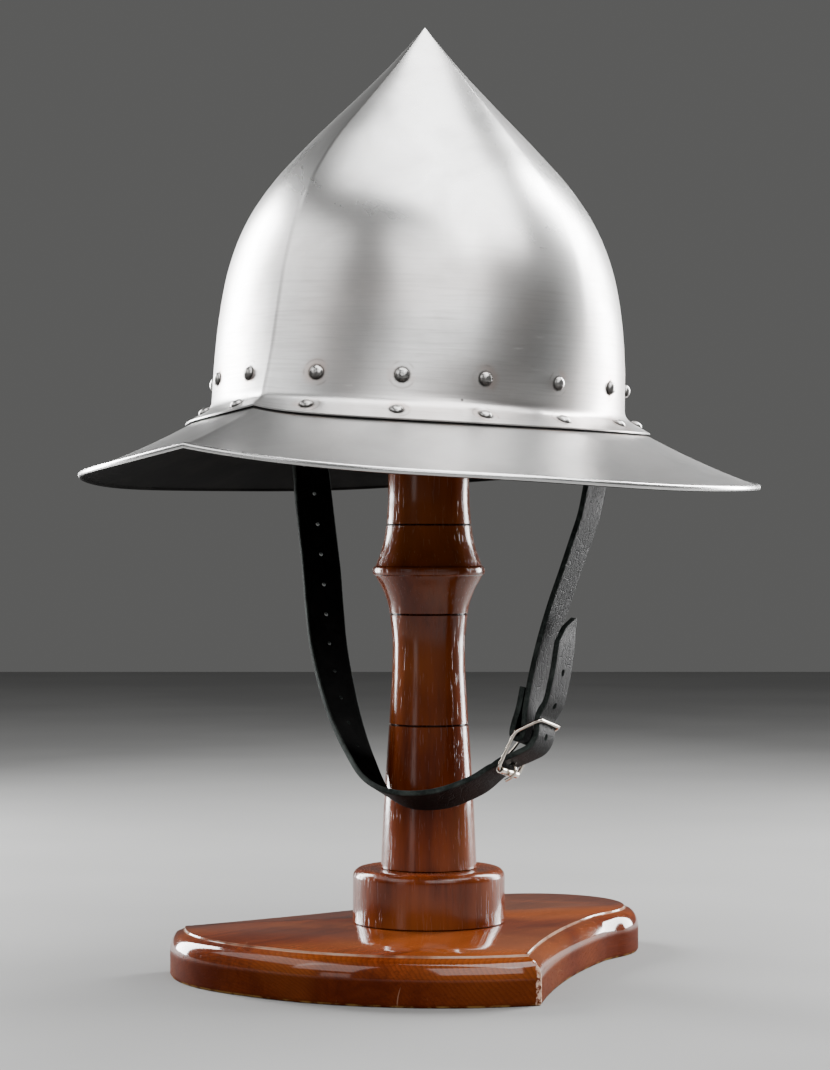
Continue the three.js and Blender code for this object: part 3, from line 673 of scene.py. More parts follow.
@dataclass(frozen=True)
class SteelFinish:
    """Ground and polished sheet steel: soft mottling, fine brushing near the seams, marks around rivets, and
    painted contact shade at the rivets' feet and along the flange's edge.
    """

    name: str = "ground_steel"
    colour: Colour = (0.62, 0.62, 0.615)
    shade: Colour = (0.47, 0.465, 0.46)
    warm: Colour = (0.58, 0.525, 0.50)
    roughness: float = 0.3
    warm_share: float = 0.55
    brush: float = 0.000032
    brush_span: tuple[float, float] = (0.335, 0.42)
    waviness: float = 0.0005
    nicks: tuple[Place, ...] = ()
    streak: Colour = (0.36, 0.35, 0.34)
    browned: Colour = (0.49, 0.405, 0.37)
    halo: Colour = (0.26, 0.23, 0.215)
    halo_place: tuple[float, float] = (6.9, 0.9)
    painted_shade: Colour = (0.03, 0.028, 0.026)
    nick: Colour = (0.02, 0.018, 0.016)

    def material(self) -> Material:
        """Build the finish.

        Returns:
            The material.
        """
        bench = Bench(self.name)
        place = bench.place()
        cloud = bench.noise(place, 22, 5, 0.6, 0.6)
        patch = bench.noise(place, 9, 2, 0.5, 0.4)
        low = bench.axis(place, "Z").span(*self.brush_span, 1, 0)
        streaks = bench.noise(bench.place((26, 560, 1), "UV"), 1, 4, 0.62)
        fine = bench.noise(bench.place((60, 1500, 1), "UV"), 1, 2, 0.7)
        hairs = bench.noise(bench.place((90, 1400, 1), "UV"), 1, 1, 0.5).span(0.72, 0.75)
        mostly_low = low * 0.8 + 0.2
        tone = bench.mix(cloud.span(0.36, 0.74), self.colour, self.shade)
        tone = bench.mix(patch.span(0.44, 0.62) * mostly_low * self.warm_share, tone, self.warm)
        tone = bench.mix(streaks.span(0.42, 0.72) * mostly_low * 0.42, tone, self.streak)
        rivet = bench.node("ShaderNodeAttribute", {"attribute_name": RIVET_MARK}, None, "Fac")
        # Painted contact shade in a ring at each rivet's foot, and on the brim along the flange's edge
        painted_shade = rivet.span(3.6, 5.2, 1, 0)
        browned = rivet.span(4.6, 9.5, 1, 0) * bench.noise(place, 60, 2).span(0.42, 0.6)
        halo = rivet.ring(*self.halo_place) * bench.noise(place, 95, 2).span(0.46, 0.6)
        tone = bench.mix(browned * 0.7, tone, self.browned)
        tone = bench.mix(halo * 0.5, tone, self.halo)
        tone = bench.mix(painted_shade * 0.93, tone, self.painted_shade)
        for nick in self.nicks:
            away = bench.vector("DISTANCE", place, nick, "Value")
            tone = bench.mix(away.span(0.0004, 0.0010, 0.8, 0), tone, self.nick)
        rough = cloud * 0.14 + streaks * low * 0.1 + painted_shade * 0.3 + hairs * 0.1 + (self.roughness - 0.09)
        waves = bench.bump(bench.noise(place, 24, 1.5, 0.4), self.waviness)
        relief = (streaks + fine * 0.35 - hairs * 0.3) * (low * 0.92 + 0.08)
        brushed = bench.bump(relief, self.brush, waves)
        return bench.finish(Base_Color=tone, Metallic=1.0, Roughness=rough, Normal=brushed)


@dataclass(frozen=True)
class InsideSteelPaintedShade:
    """Dull steel of the hat's inside and undersides, painted near black as shade, in two mixed tones."""

    name: str = "inside_steel_painted_shade"
    dark: Colour = (0.0045, 0.0044, 0.0042)
    light: Colour = (0.011, 0.0105, 0.010)

    def material(self) -> Material:
        """Build the finish.

        Returns:
            The material.
        """
        bench = Bench(self.name)
        place = bench.place()
        cloud = bench.noise(place, 30, 6, 0.65, 0.8)
        tone = bench.mix(cloud.span(0.35, 0.7), self.dark, self.light)
        bumps = bench.bump(bench.noise(place, 160, 4), 0.00015)
        rough = cloud * 0.2 + 0.62
        return bench.finish(Base_Color=tone, Metallic=0.0, Roughness=rough, Normal=bumps, IOR=1.08)


@dataclass(frozen=True)
class RivetFinish:
    """Hammered rivet heads, with painted shade on their downward-facing sides."""

    name: str = "rivet_heads"
    light: Colour = (0.43, 0.425, 0.415)
    dark: Colour = (0.25, 0.243, 0.235)
    painted_shade: Colour = (0.075, 0.068, 0.064)

    def material(self) -> Material:
        """Build the finish.

        Returns:
            The material.
        """
        bench = Bench(self.name)
        place = bench.place()
        cloud = bench.noise(place, 260, 4, 0.6)
        tone = bench.mix(cloud.span(0.35, 0.7), self.light, self.dark)
        # Painted shade, darker where the head faces down
        upward = bench.axis(bench.node("ShaderNodeNewGeometry", None, None, "Normal"), "Z")
        tone = bench.mix(upward.span(-0.7, 0.3, 0.9, 0), tone, self.painted_shade)
        bumps = bench.bump(bench.noise(place, 420, 2), 0.00005)
        return bench.finish(Base_Color=tone, Metallic=1.0, Roughness=cloud * 0.2 + 0.2, Normal=bumps)


class Hide(Enum):
    """Sides of strap leather: name, two tones, roughness, refractive index, and how deep its texture is."""

    GRAIN = ("strap_grain", (0.006, 0.006, 0.0065), (0.014, 0.0138, 0.014), 0.54, 1.17, 0.00022)
    FLESH = ("strap_flesh", (0.0012, 0.0012, 0.0012), (0.0045, 0.0045, 0.0044), 0.9, 1.05, 0.0002)
    EDGE = ("strap_edge", (0.011, 0.0135, 0.0125), (0.044, 0.053, 0.049), 0.8, 1.15, 0.00015)


@dataclass(frozen=True)
class LeatherFinish:
    """Black strap leather, creased and pored on its grain side and fibrous elsewhere."""

    hide: Hide

    def material(self) -> Material:
        """Build the finish of one side of the leather.

        Returns:
            The material.
        """
        name, dark, light, roughness, index, depth = self.hide.value
        bench = Bench(name)
        place = bench.place()
        cloud = bench.noise(place, 90, 5, 0.65, 0.5)
        pores = bench.cells(place, 1500).span(0.0, 0.6)
        creases = bench.cells(bench.place((1, 1, 0.6)), 270, "DISTANCE_TO_EDGE").span(0.0, 0.075)
        fuzz = bench.noise(place, 1400, 4, 0.75)
        tone = bench.mix(cloud.span(0.4, 0.75), dark, light)
        tone = bench.mix((1 - creases) * 0.35, tone, light)
        if self.hide is Hide.GRAIN:
            height = pores * 0.3 + creases * 0.65 + fuzz * 0.42
        else:
            height = fuzz * 1.4 + bench.noise(place, 420, 3) * 0.8
            tone = bench.mix(fuzz.span(0.5, 0.75) * 0.5, tone, light)
        rough = cloud * 0.2 + (roughness - 0.1)
        bumps = bench.bump(height, depth)
        return bench.finish(Base_Color=tone, Roughness=rough, Normal=bumps, IOR=index)


@dataclass(frozen=True)
class NickelFinish:
    """Nickel plated buckle wire, bright with warmer, duller clouds."""

    name: str = "buckle_nickel"
    bright: Colour = (0.74, 0.68, 0.60)
    dull: Colour = (0.52, 0.46, 0.40)

    def material(self) -> Material:
        """Build the finish.

        Returns:
            The material.
        """
        bench = Bench(self.name)
        place = bench.place()
        cloud = bench.noise(place, 300, 4, 0.6)
        tone = bench.mix(cloud.span(0.35, 0.7), self.bright, self.dull)
        bumps = bench.bump(bench.noise(place, 900, 2), 0.00003)
        return bench.finish(Base_Color=tone, Metallic=1.0, Roughness=cloud * 0.14 + 0.12, Normal=bumps)


@dataclass(frozen=True)
class WoodFinish:
    """Red-brown stained hardwood under gloss varnish."""

    name: str
    grain: Place
    index: float
    coat: float
    groove_lines: tuple[float, ...] = ()
    worn: Optional[tuple[float, float]] = None
    chipped: Optional[tuple[float, float]] = None
    pits: float = 0.00006
    stained: Colour = (0.165, 0.031, 0.006)
    banded: Colour = (0.085, 0.013, 0.0025)
    fibre: Colour = (0.045, 0.007, 0.002)
    amber: Colour = (0.25, 0.066, 0.013)
    shaded_lower_edge: Colour = (0.045, 0.006, 0.0015)
    groove_dark: Colour = (0.006, 0.002, 0.001)
    scuffed: Colour = (0.36, 0.17, 0.09)
    growth: Colour = (0.05, 0.009, 0.0025)
    scratched: Colour = (0.38, 0.22, 0.14)
    rubbed: Colour = (0.50, 0.33, 0.24)
    raw: Colour = (0.30, 0.17, 0.05)
    splintered: Colour = (0.56, 0.38, 0.29)

    def material(self) -> Material:
        """Build the finish.

        Returns:
            The material.
        """
        bench = Bench(self.name)
        place = bench.place()
        along = bench.place(self.grain)
        height = bench.axis(place, "Z")
        bands = bench.noise(along, 55, 3, 0.55, 0.7)
        fibres = bench.noise(along, 420, 5, 0.7)
        pores = bench.noise(along, 900, 2, 0.6).span(0.58, 0.7)
        stain = bench.noise(place, 14, 2, 0.5)
        tone = bench.mix(bands.span(0.3, 0.7), self.stained, self.banded)
        tone = bench.mix(fibres.span(0.42, 0.72) * 0.6, tone, self.fibre)
        tone = bench.mix(stain.span(0.42, 0.68) * 0.5, tone, self.amber)
        # The board's lower edge: duller varnish, and a darker colour that is painted shade
        dull = height.span(0.0125, 0.0155, 1, 0)
        tone = bench.mix(dull * 0.55, tone, self.shaded_lower_edge)
        if self.worn:
            tone = self.weathered(bench, place, height, tone)
        # Near-black rings along the post's grooves
        for line in self.groove_lines:
            tone = bench.mix(height.ring(line, 0.0009), tone, self.groove_dark)
        scuff = bench.noise(bench.place((1, 1, 0.35)), 260, 4, 0.75).span(0.68, 0.76)
        tone = bench.mix(scuff * 0.3, tone, self.scuffed)
        rough = fibres * 0.12 + pores * 0.25 + dull * 0.28 + scuff * 0.2 + 0.1
        bumps = bench.bump(fibres * 0.5 - pores + bench.noise(place, 60, 2) * 1.2, self.pits)
        return bench.finish(
            Base_Color=tone,
            Roughness=rough,
            Normal=bumps,
            IOR=self.index,
            Coat_Weight=dull * (-0.93 * self.coat) + self.coat,
            Coat_Roughness=0.08,
        )

    def weathered(self, bench: Bench, place: Signal, height: Signal, tone: Signal) -> Signal:
        """Add growth rings, hairline scratches, a rubbed step, a raw lower edge and a chipped corner.

        Args:
            bench: Material that it belongs to.
            place: Coordinates.
            height: Height above the floor.
            tone: Colour so far.

        Returns:
            The weathered colour.
        """
        heart = bench.vector("ADD", place, (0.035, 0, 0.075))
        settings = {"wave_type": "RINGS", "rings_direction": "Y", "wave_profile": "SAW"}
        inputs = {"Vector": heart, "Scale": 185.0, "Distortion": 5.0, "Detail": 2.0, "Detail Scale": 0.5}
        growth = bench.node("ShaderNodeTexWave", settings, inputs, "Fac")
        tone = bench.mix(growth.span(0.3, 1.0) * 0.34, tone, self.growth)
        swirl = bench.noise(place, 24, 0, 0.5)
        scratch = swirl.ring(0.5, 0.0016) * bench.noise(place, 33, 1).span(0.58, 0.66)
        tone = bench.mix(scratch * 0.45, tone, self.scratched)
        low, high = self.worn
        rubbed = height.span(low - 0.0002, low) * height.span(high - 0.00025, high - 0.0001, 1, 0)
        patchy = bench.noise(place, 26, 3, 0.7).span(0.3, 0.62)
        tone = bench.mix(rubbed * patchy * 0.6, tone, self.rubbed)
        raw = height.span(0.0006, 0.0016, 1, 0) * bench.noise(place, 120, 3).span(0.42, 0.6)
        tone = bench.mix(raw * 0.8, tone, self.raw)
        if self.chipped:
            flat = bench.vector("MULTIPLY", place, (1, 1, 0))
            away = bench.vector("DISTANCE", flat, (*self.chipped, 0.0), "Value")
            edge = away.span(0.002, 0.0065, 1, 0) * height.span(0.0235, 0.0255, 1, 0)
            chips = (edge * 0.7 + bench.noise(place, 420, 3, 0.7) * 0.7).span(0.95, 1.08)
            tone = bench.mix(chips * 0.9, tone, self.splintered)
        return tone


@dataclass(frozen=True)
class FloorFinish:
    """Plain pale matt floor."""

    name: str = "pale_floor"
    light: Colour = (0.20, 0.20, 0.197)
    dark: Colour = (0.18, 0.18, 0.178)

    def material(self) -> Material:
        """Build the finish.

        Returns:
            The material.
        """
        bench = Bench(self.name)
        cloud = bench.noise(bench.place(), 3, 2)
        tone = bench.mix(cloud.span(0.3, 0.7), self.light, self.dark)
        return bench.finish(Base_Color=tone, Roughness=0.75)


# Hat


def skull_table() -> dict[str, Array]:
    """Give the sections of the skull.

    Returns:
        Height above the bend, half width, half length, and how strong the middle and the side ridges are.
    """
    return rows(
        "up side front middle_ridge side_ridge",
        (0, 106.5, 134, 0.21, 0),
        (26, 109.2, 127.5, 0.21, 0),
        (53, 108.8, 122.2, 0.20, 0.02),
        (79, 103.9, 116.4, 0.18, 0.03),
        (102.5, 94.2, 107.4, 0.17, 0.03),
        (124, 80.4, 94.2, 0.20, 0.05),
        (145, 62, 75.6, 0.24, 0.09),
        (166.5, 42.2, 51.2, 0.25, 0.16),
        (188, 22.6, 26.6, 0.27, 0.30),
        (205, 7.4, 8.8, 0.32, 0.42),
        (213.4, 0, 0, 0.35, 0.45),
    )


@dataclass
class HatForm:
    """Shape of the hat in its own frame, with z = 0 at the middle of the rim."""

    sheet: float = 1.6
    gap: float = 0.3
    seat: Place = (-4.2, -3.2, 267.0)
    lean: float = math.radians(0.73)
    lean_toward: float = VIEW_BEARING
    bend_height: float = 38.3
    tip: float = 213.4
    bend_fade: float = 60.0
    bend_arch: Place = (2.2, 2.0, 0.19)
    flange_height: float = 29.6
    flange_arch: Place = (1.4, 6.8, 0.27)
    flange_width: float = 14.5
    flange_narrowing: tuple[float, float] = (7.0, 0.15)
    rim_side: float = 181.1
    rim_front: float = 195.5
    rim_arch: Place = (2.5, 12.9, 0.39)
    rim_set_back: float = 2.2
    rim_back_rise: float = 2.9
    rim_ridge: float = 0.05
    brim_hollow: float = 1.4
    rivet_count: int = 16
    rivet_shift: float = 2.1 / 360
    upper_row: float = 14.7
    lower_row: float = 0.46
    skull: dict[str, Array] = field(default_factory=skull_table)

    def around(self, turns: Array, middle_ridge: Array, side_ridge: Array) -> tuple[Array, Array]:
        """Unit outline of the hat.

        Args:
            turns: Places around it, in turns from the front by way of the wearer's left.
            middle_ridge: How sharply the sides meet at front and back.
            side_ridge: How sharply front and back meet at the sides.

        Returns:
            The outline's x and y.
        """
        turns, middle_ridge, side_ridge = np.broadcast_arrays(turns, middle_ridge, side_ridge)
        place = (turns * 4) % 4
        quarter = np.floor(place).astype(int)
        within = place - quarter
        t = np.where(quarter % 2 == 1, 1 - within, within)
        s = 1 - t
        # Quarter of a cubic curve from the middle line to the side
        leave, arrive = 3 * t * s * s, 3 * t * t * s
        reach = QUARTER_HANDLE
        x = leave * reach * np.cos(middle_ridge) + arrive * (1 - reach * np.sin(side_ridge)) + t**3
        y = s**3 + leave * (1 - reach * np.sin(middle_ridge)) + arrive * reach * np.cos(side_ridge)
        front = (quarter == 0) | (quarter == 3)
        return np.where(quarter < 2, x, -x), np.where(front, -y, y)

    @staticmethod
    def arch(turns: Array, shape: Place) -> Array:
        """Rise of a ring: a gentle wave, and a peak at front and back.

        Args:
            turns: Places around it.
            shape: Height of the wave, height of the peaks, and how far they spread.

        Returns:
            The rise at each place.
        """
        wave, peak, spread = shape
        angle = np.asarray(turns) * FULL_TURN
        return wave * np.cos(2 * angle) + peak * np.exp(-np.abs(np.sin(angle)) / spread)

    def read(self, key: str, up: Array) -> Array:
        """A column of the skull's table at a height above the bend."""
        return smooth(self.skull["up"], self.skull[key], up)

    def skull_point(self, turns: Array, up: Array) -> Array:
        """Points on the outside of the skull.

        Args:
            turns: Places around it.
            up: Heights above the bend.

        Returns:
            The points.
        """
        x, y = self.around(turns, self.read("middle_ridge", up), self.read("side_ridge", up))
        fade = np.maximum(1 - np.asarray(up) / self.bend_fade, 0) ** 2
        z = self.bend_height + up + fade * self.arch(turns, self.bend_arch)
        return np.stack(np.broadcast_arrays(x * self.read("side", up), y * self.read("front", up), z), -1)

    def flange_point(self, turns: Array, place: Array) -> Array:
        """Points on top of the flange.

        Args:
            turns: Places around it.
            place: Places across it, from the bend at 0 to its edge at 1.

        Returns:
            The points.
        """
        turns = np.asarray(turns, float)
        bend = self.skull_point(turns, 0.0 * turns)
        amount, spread = self.flange_narrowing
        width = self.flange_width - amount * np.exp(-np.abs(np.sin(turns * FULL_TURN)) / spread)
        out = [bend[..., k] * (1 + width / self.skull[key][0]) for k, key in enumerate(("side", "front"))]
        edge = np.stack([*out, self.flange_height + self.arch(turns, self.flange_arch)], -1)
        return bend + (edge - bend) * np.asarray(place)[..., None]

    def rim_point(self, turns: Array) -> Array:
        """Points on the rim.

        Args:
            turns: Places around it.

        Returns:
            The points.
        """
        x, y = self.around(turns, self.rim_ridge, 0.0)
        rise = self.arch(turns, self.rim_arch) + np.where(y > 0, self.rim_back_rise * y * y, 0)
        return np.stack([x * self.rim_side, y * self.rim_front + self.rim_set_back, rise], -1)

    def normals(self, surface: Callable[[Array], Array], turns: Array, step: float = 0.0012) -> Array:
        """Outward directions of a surface given as rows of a profile.

        Args:
            surface: Function from places around the hat to a grid of profile rows by places.
            turns: Places around the hat.
            step: How far to each side the surface is compared.

        Returns:
            Unit directions, in the grid's shape.
        """
        grid = surface(turns)
        around = surface(turns + step) - surface(turns - step)
        return unit(np.cross(np.gradient(grid, axis=0), around))

    def rivet_turn(self, index: Union[Array, int]) -> Union[Array, float]:
        """Place around the hat of a rivet, or of several."""
        return (index + 0.5) / self.rivet_count + self.rivet_shift

    def rivet_seats(self) -> Array:
        """Places of all the rivets in the part's frame.

        Returns:
            The points, the upper row first.
        """
        turns = self.rivet_turn(np.arange(self.rivet_count))
        upper = self.skull_point(turns, 0 * turns + self.upper_row)
        lower = self.flange_point(turns, 0 * turns + self.lower_row)
        return self.placed(np.concatenate([upper, lower]))

    def mark_rivets(self, piece: Piece, below_flange: bool) -> None:
        """Give each vertex of a piece its distance from the nearest rivet, in millimetres.

        Args:
            piece: Object that is marked.
            below_flange: Whether the flange's edge counts too, so that painted shade falls along the line
                where it lies.
        """
        points = np.empty(len(piece.data.vertices) * 3, np.float32)
        piece.data.vertices.foreach_get("co", points)
        points = points.reshape(-1, 3) / MM
        nearest = self.nearest(points, self.rivet_seats())
        if below_flange:
            turns = np.linspace(0, 1, 900, endpoint=False)
            away = self.nearest(points, self.placed(self.flange_point(turns, 0 * turns + 1)))
            aside = np.sqrt(np.maximum(away**2 - (self.sheet + self.gap) ** 2, 0))
            # A line of painted shade 2 mm wide, with the distance at which the painted shade around a rivet
            # starts to fade
            nearest = np.where(aside < 2, np.minimum(nearest, 3.4 + aside), nearest)
        mark = piece.data.attributes.new(RIVET_MARK, "FLOAT", "POINT")
        mark.data.foreach_set("value", nearest.astype(np.float32))

    @staticmethod
    def nearest(points: Array, targets: Array) -> Array:
        """Distance of each point from the nearest target.

        Args:
            points: Points to measure.
            targets: Points to measure to.

        Returns:
            The distances.
        """
        out = np.full(len(points), FAR_AWAY)
        for target in targets:
            out = np.minimum(out, np.linalg.norm(points - target, axis=1))
        return out

    def placed(self, points: Array) -> Array:
        """Move points from the hat's frame to the part's.

        Args:
            points: Points in the hat's frame.

        Returns:
            The moved points.
        """
        axis = np.array([-math.sin(self.lean_toward), math.cos(self.lean_toward), 0])
        turn = np.array(Matrix.Rotation(self.lean, 3, Vector(axis)))
        return points @ turn.T + np.array(self.seat)

    def seat_of(
        self, surface: Callable[[Array, Array], Array], turns: float, place: float
    ) -> tuple[Array, Array]:
        """Seat on the outside of a surface, in the part's frame.

        Args:
            surface: Function from places around the hat and along its profile to points.
            turns: Place around the hat.
            place: Place along the profile.

        Returns:
            The point and the outward direction.
        """
        step = 0.004

        def at(t: float, p: float) -> Array:
            """Point of the surface in the part's frame."""
            return self.placed(surface(np.array([t]), np.array([p])))[0]

        around = at(turns + step, place) - at(turns - step, place)
        rise = at(turns, place + step) - at(turns, place - step)
        normal = unit(np.cross(around, rise))
        point = at(turns, place)
        inside = np.array([self.seat[0], self.seat[1], point[2] - 40])
        return point, normal if normal @ (point - inside) > 0 else -normal


def columns_around(count: int) -> Array:
    """Places around the hat that start at the back and crowd toward the two middle ridges."""
    even = np.linspace(0.5, 1.5, count + 1)[:-1]
    return even - 0.006 * np.sin(even * 2 * FULL_TURN)


def walked(profile: Array, column: int = 40) -> Array:
    """Length in metres along one column of a grid, up to each of its rows."""
    chords = np.linalg.norm(np.diff(profile[:, column], axis=0), axis=1)
    return np.concatenate([[0], np.cumsum(chords)])[:, None] * MM


@dataclass
class Crown:
    """Pointed four-ridged skull with its narrow flange."""

    form: HatForm
    columns: int = 288
    levels: int = 120
    first_ring: float = 0.35
    rounding: float = 4.5
    solid_tip: float = 2.4
    edge_bulge: float = 0.25
    girth: float = 0.72

    def profile(self, turns: Array) -> Array:
        """Outer line of the crown from under the tip to the flange's edge.

        Args:
            turns: Places around it.

        Returns:
            Grid of points, one row for each step down the line.
        """
        form = self.form
        falls = (form.tip - self.rounding) * np.linspace(0, 1, self.levels) ** 1.05
        heights = [np.full_like(turns, form.tip - self.first_ring - fall) for fall in falls]
        wall = [form.skull_point(turns, height) for height in heights]
        start = wall[-1]
        bend, end = (form.flange_point(turns, 0 * turns + p) for p in (0, 0.3))
        steps = np.linspace(0, 1, 8)[1:]
        rounding = [start * (1 - t) ** 2 + bend * 2 * t * (1 - t) + end * t**2 for t in steps]
        flange = [form.flange_point(turns, 0 * turns + p) for p in (0.45, 0.6, 0.75, 0.9, 0.97, 1.0)]
        return np.stack([*wall, *rounding, *flange])

    def build(self, outer: Material, inner_painted_shade: Material) -> Piece:
        """Make the crown.

        Args:
            outer: Material of the outside.
            inner_painted_shade: Material of the inside, painted near black as shade.

        Returns:
            The object.
        """
        form = self.form
        turns = columns_around(self.columns)
        outside = self.profile(turns)
        normal = form.normals(self.profile, turns)
        inside = outside - normal * form.sheet
        outward = unit(outside[-1] - outside[-2])
        rounded = outside[-1] - normal[-1] * form.sheet * 0.5 + outward * self.edge_bulge
        spread = (turns - 0.5) * self.girth
        uv = np.stack(np.broadcast_arrays(spread[None, :], walked(outside)), -1)
        peak = form.skull_point(np.array([0.0]), np.array([form.tip]))[0]
        tip = np.broadcast_to(peak, outside[:1].shape)
        work = MeshWork()
        work.sheet(form.placed(np.concatenate([tip, outside])), uv=np.concatenate([uv[:1], uv]))
        edge = np.stack([outside[-1], rounded, inside[-1]])
        # The edge's lower strip takes the inside's near-black painted shade
        work.sheet(form.placed(edge), uv=np.repeat(uv[-1:], 3, 0), finish=int)
        # The inside needs all rows of the rounding and flange, and every third one of the wall
        inner_tip = tip - np.array([0, 0, self.solid_tip])
        kept = np.concatenate([inside[-14:][::-1], inside[:-14][::-1][::3]])
        kept = kept[kept[:, 0, 2] < inner_tip[0, 0, 2] - 1.5]
        work.sheet(form.placed(np.concatenate([kept, inner_tip])), finish=1)
        return work.piece("crown_steel", [outer, inner_painted_shade], 50)


@dataclass
class Brim:
    """Sloping brim with its peak on the middle line and its rolled edge."""

    form: HatForm
    bead: float = 1.7
    columns: int = 288
    outer_rows: int = 40
    under_flange: tuple[float, ...] = (0.14, 0.4, 0.7, 1.0)
    ripple: Place = (0.35, 7, 1.1)
    painted_highlight_share: float = 0.56

    def seam(self, turns: Array) -> Array:
        """Rings of the flange that the brim lies under, at places around."""
        return np.stack([self.form.flange_point(turns, 0 * turns + p) for p in self.under_flange])

    def top(self, turns: Array) -> Array:
        """Upper line of the brim from under the flange to the bead.

        Args:
            turns: Places around it.

        Returns:
            Grid of points, one row for each step down the line.
        """
        form = self.form
        seam = self.seam(turns) - form.normals(self.seam, turns) * (form.sheet + form.gap)
        rim = form.rim_point(turns)
        height, waves, start = self.ripple
        slope = []
        for place in np.linspace(0, 0.985, self.outer_rows)[1:]:
            point = seam[-1] + (rim - seam[-1]) * place
            wobble = height * np.sin(turns * FULL_TURN * waves + start) * place**2
            lift = -form.brim_hollow * 4 * place * (1 - place) + wobble
            slope.append(point + np.stack([0 * turns, 0 * turns, lift], -1))
        return np.concatenate([seam, np.stack(slope)])

    def build(self, outer: Material, inner_painted_shade: Material, bead: Material) -> Piece:
        """Make the brim.

        Args:
            outer: Material of the top.
            inner_painted_shade: Material of the underside, painted near black as shade.
            bead: Material of the rolled edge's upper part, a brighter steel that paints its highlight.

        Returns:
            The object.
        """
        form = self.form
        turns = columns_around(self.columns)
        top = self.top(turns)
        normal = form.normals(self.top, turns)
        under = top - normal * form.sheet
        middle = (top[-1] + under[-1]) / 2
        outward, up = unit(top[-1] - top[-3]), normal[-1]
        around = [
            middle + outward * self.bead * (0.8 + math.cos(a)) + up * self.bead * math.sin(a)
            for a in np.radians(np.linspace(128, -128, 15))
        ]
        roll = np.stack([top[-1], *around, under[-1]])
        uv = np.stack(np.broadcast_arrays((turns - 0.5)[None, :], walked(top) + 0.3), -1)
        # The rolled edge's upper rows take a painted highlight, and its lower rows the inside's painted shade
        painted_highlight_rows = len(roll) * self.painted_highlight_share

        def highlight_or_shade(row: int) -> int:
            """Painted highlight above, and the underside's painted shade below."""
            return 2 if row < painted_highlight_rows else 1

        work = MeshWork()
        work.sheet(form.placed(top), uv=uv)
        work.sheet(form.placed(roll), uv=np.repeat(uv[-1:], len(roll), 0), finish=highlight_or_shade)
        work.sheet(form.placed(under[::-1]), finish=1, uv=uv[::-1])
        work.sheet(form.placed(np.stack([under[0], top[0]])), finish=1, uv=uv[:2])
        return work.piece("brim_steel", [outer, inner_painted_shade, bead], 35)


class RivetRow(Enum):
    """Rows of rivets: name, radius and height of the heads, and seed of their unevenness."""

    UPPER = ("upper", 3.7, 2.9, 100)
    LOWER = ("lower", 3.5, 2.2, 150)


@dataclass
class Rivets:
    """Two rows of hammered rivets around the hat."""

    form: HatForm
    shank: float = 2.0
    tail: float = 2.9
    tail_height: float = 0.9
    dimple: tuple[float, float] = (0.14, 0.75)
    uneven: float = 0.03
    strap_rivets: tuple[int, int] = (LEFT_RIVET, RIGHT_RIVET)
    strap_stack: float = 1.2 + 3.0

    def stack(self, row: RivetRow, index: int) -> float:
        """Depth of what a rivet holds together.

        Args:
            row: Row that it belongs to.
            index: Its place in the row.

        Returns:
            The depth.
        """
        if row is RivetRow.LOWER:
            return 2 * self.form.sheet + 2 * self.form.gap
        return self.form.sheet + (self.strap_stack if index in self.strap_rivets else 0)

    def rivet(self, node: str, row: RivetRow, index: int, material: Material) -> Piece:
        """Make one rivet.

        Args:
            node: Name of its CAD node.
            row: Row that it belongs to.
            index: Its place in the row.
            material: Its material.

        Returns:
            The object.
        """
        form = self.form
        _, head_radius, head_height, seed = row.value
        dice = np.random.default_rng(seed + index)
        radius = head_radius * dice.uniform(0.95, 1.0)
        height = head_height * dice.uniform(0.9, 1.0)
        depth, under = self.stack(row, index), form.gap * 0.3
        dimple, dimple_radius = self.dimple
        profile = []
        for a in np.radians([90, 86, 82, 78, 74, 68, 60, 51, 42, 33, 24, 15, 7, 0]):
            out = radius * math.cos(a)
            dent = dimple * math.exp(-((out / dimple_radius) ** 2))
            profile.append((out, form.gap * 0.4 + height * (0.12 + 0.88 * math.sin(a) ** 1.05) - dent))
        profile += [(radius * 0.985, under), (self.shank, under), (self.shank, -depth - form.gap)]
        profile += [(self.tail, -depth - form.gap), (self.tail * 0.9, -depth - self.tail_height)]
        profile.append((0, -depth - form.gap - self.tail_height))
        piece = turned(profile, 28).piece(f"{node}_head", [material], 45)
        wobble = dice.uniform(-1, 1, 4)
        for vertex in piece.data.vertices:
            if vertex.co.z > 0.0004:
                spin = math.atan2(vertex.co.y, vertex.co.x)
                vertex.co.x *= 1 + self.uneven * wobble[0] * math.cos(2 * spin + wobble[1] * 3)
                vertex.co.y *= 1 + self.uneven * wobble[2] * math.sin(3 * spin + wobble[3] * 3)
        turns = form.rivet_turn(index)
        if row is RivetRow.UPPER:
            seated(piece, *form.seat_of(form.skull_point, turns, form.upper_row))
        else:
            seated(piece, *form.seat_of(form.flange_point, turns, form.lower_row))
        return piece


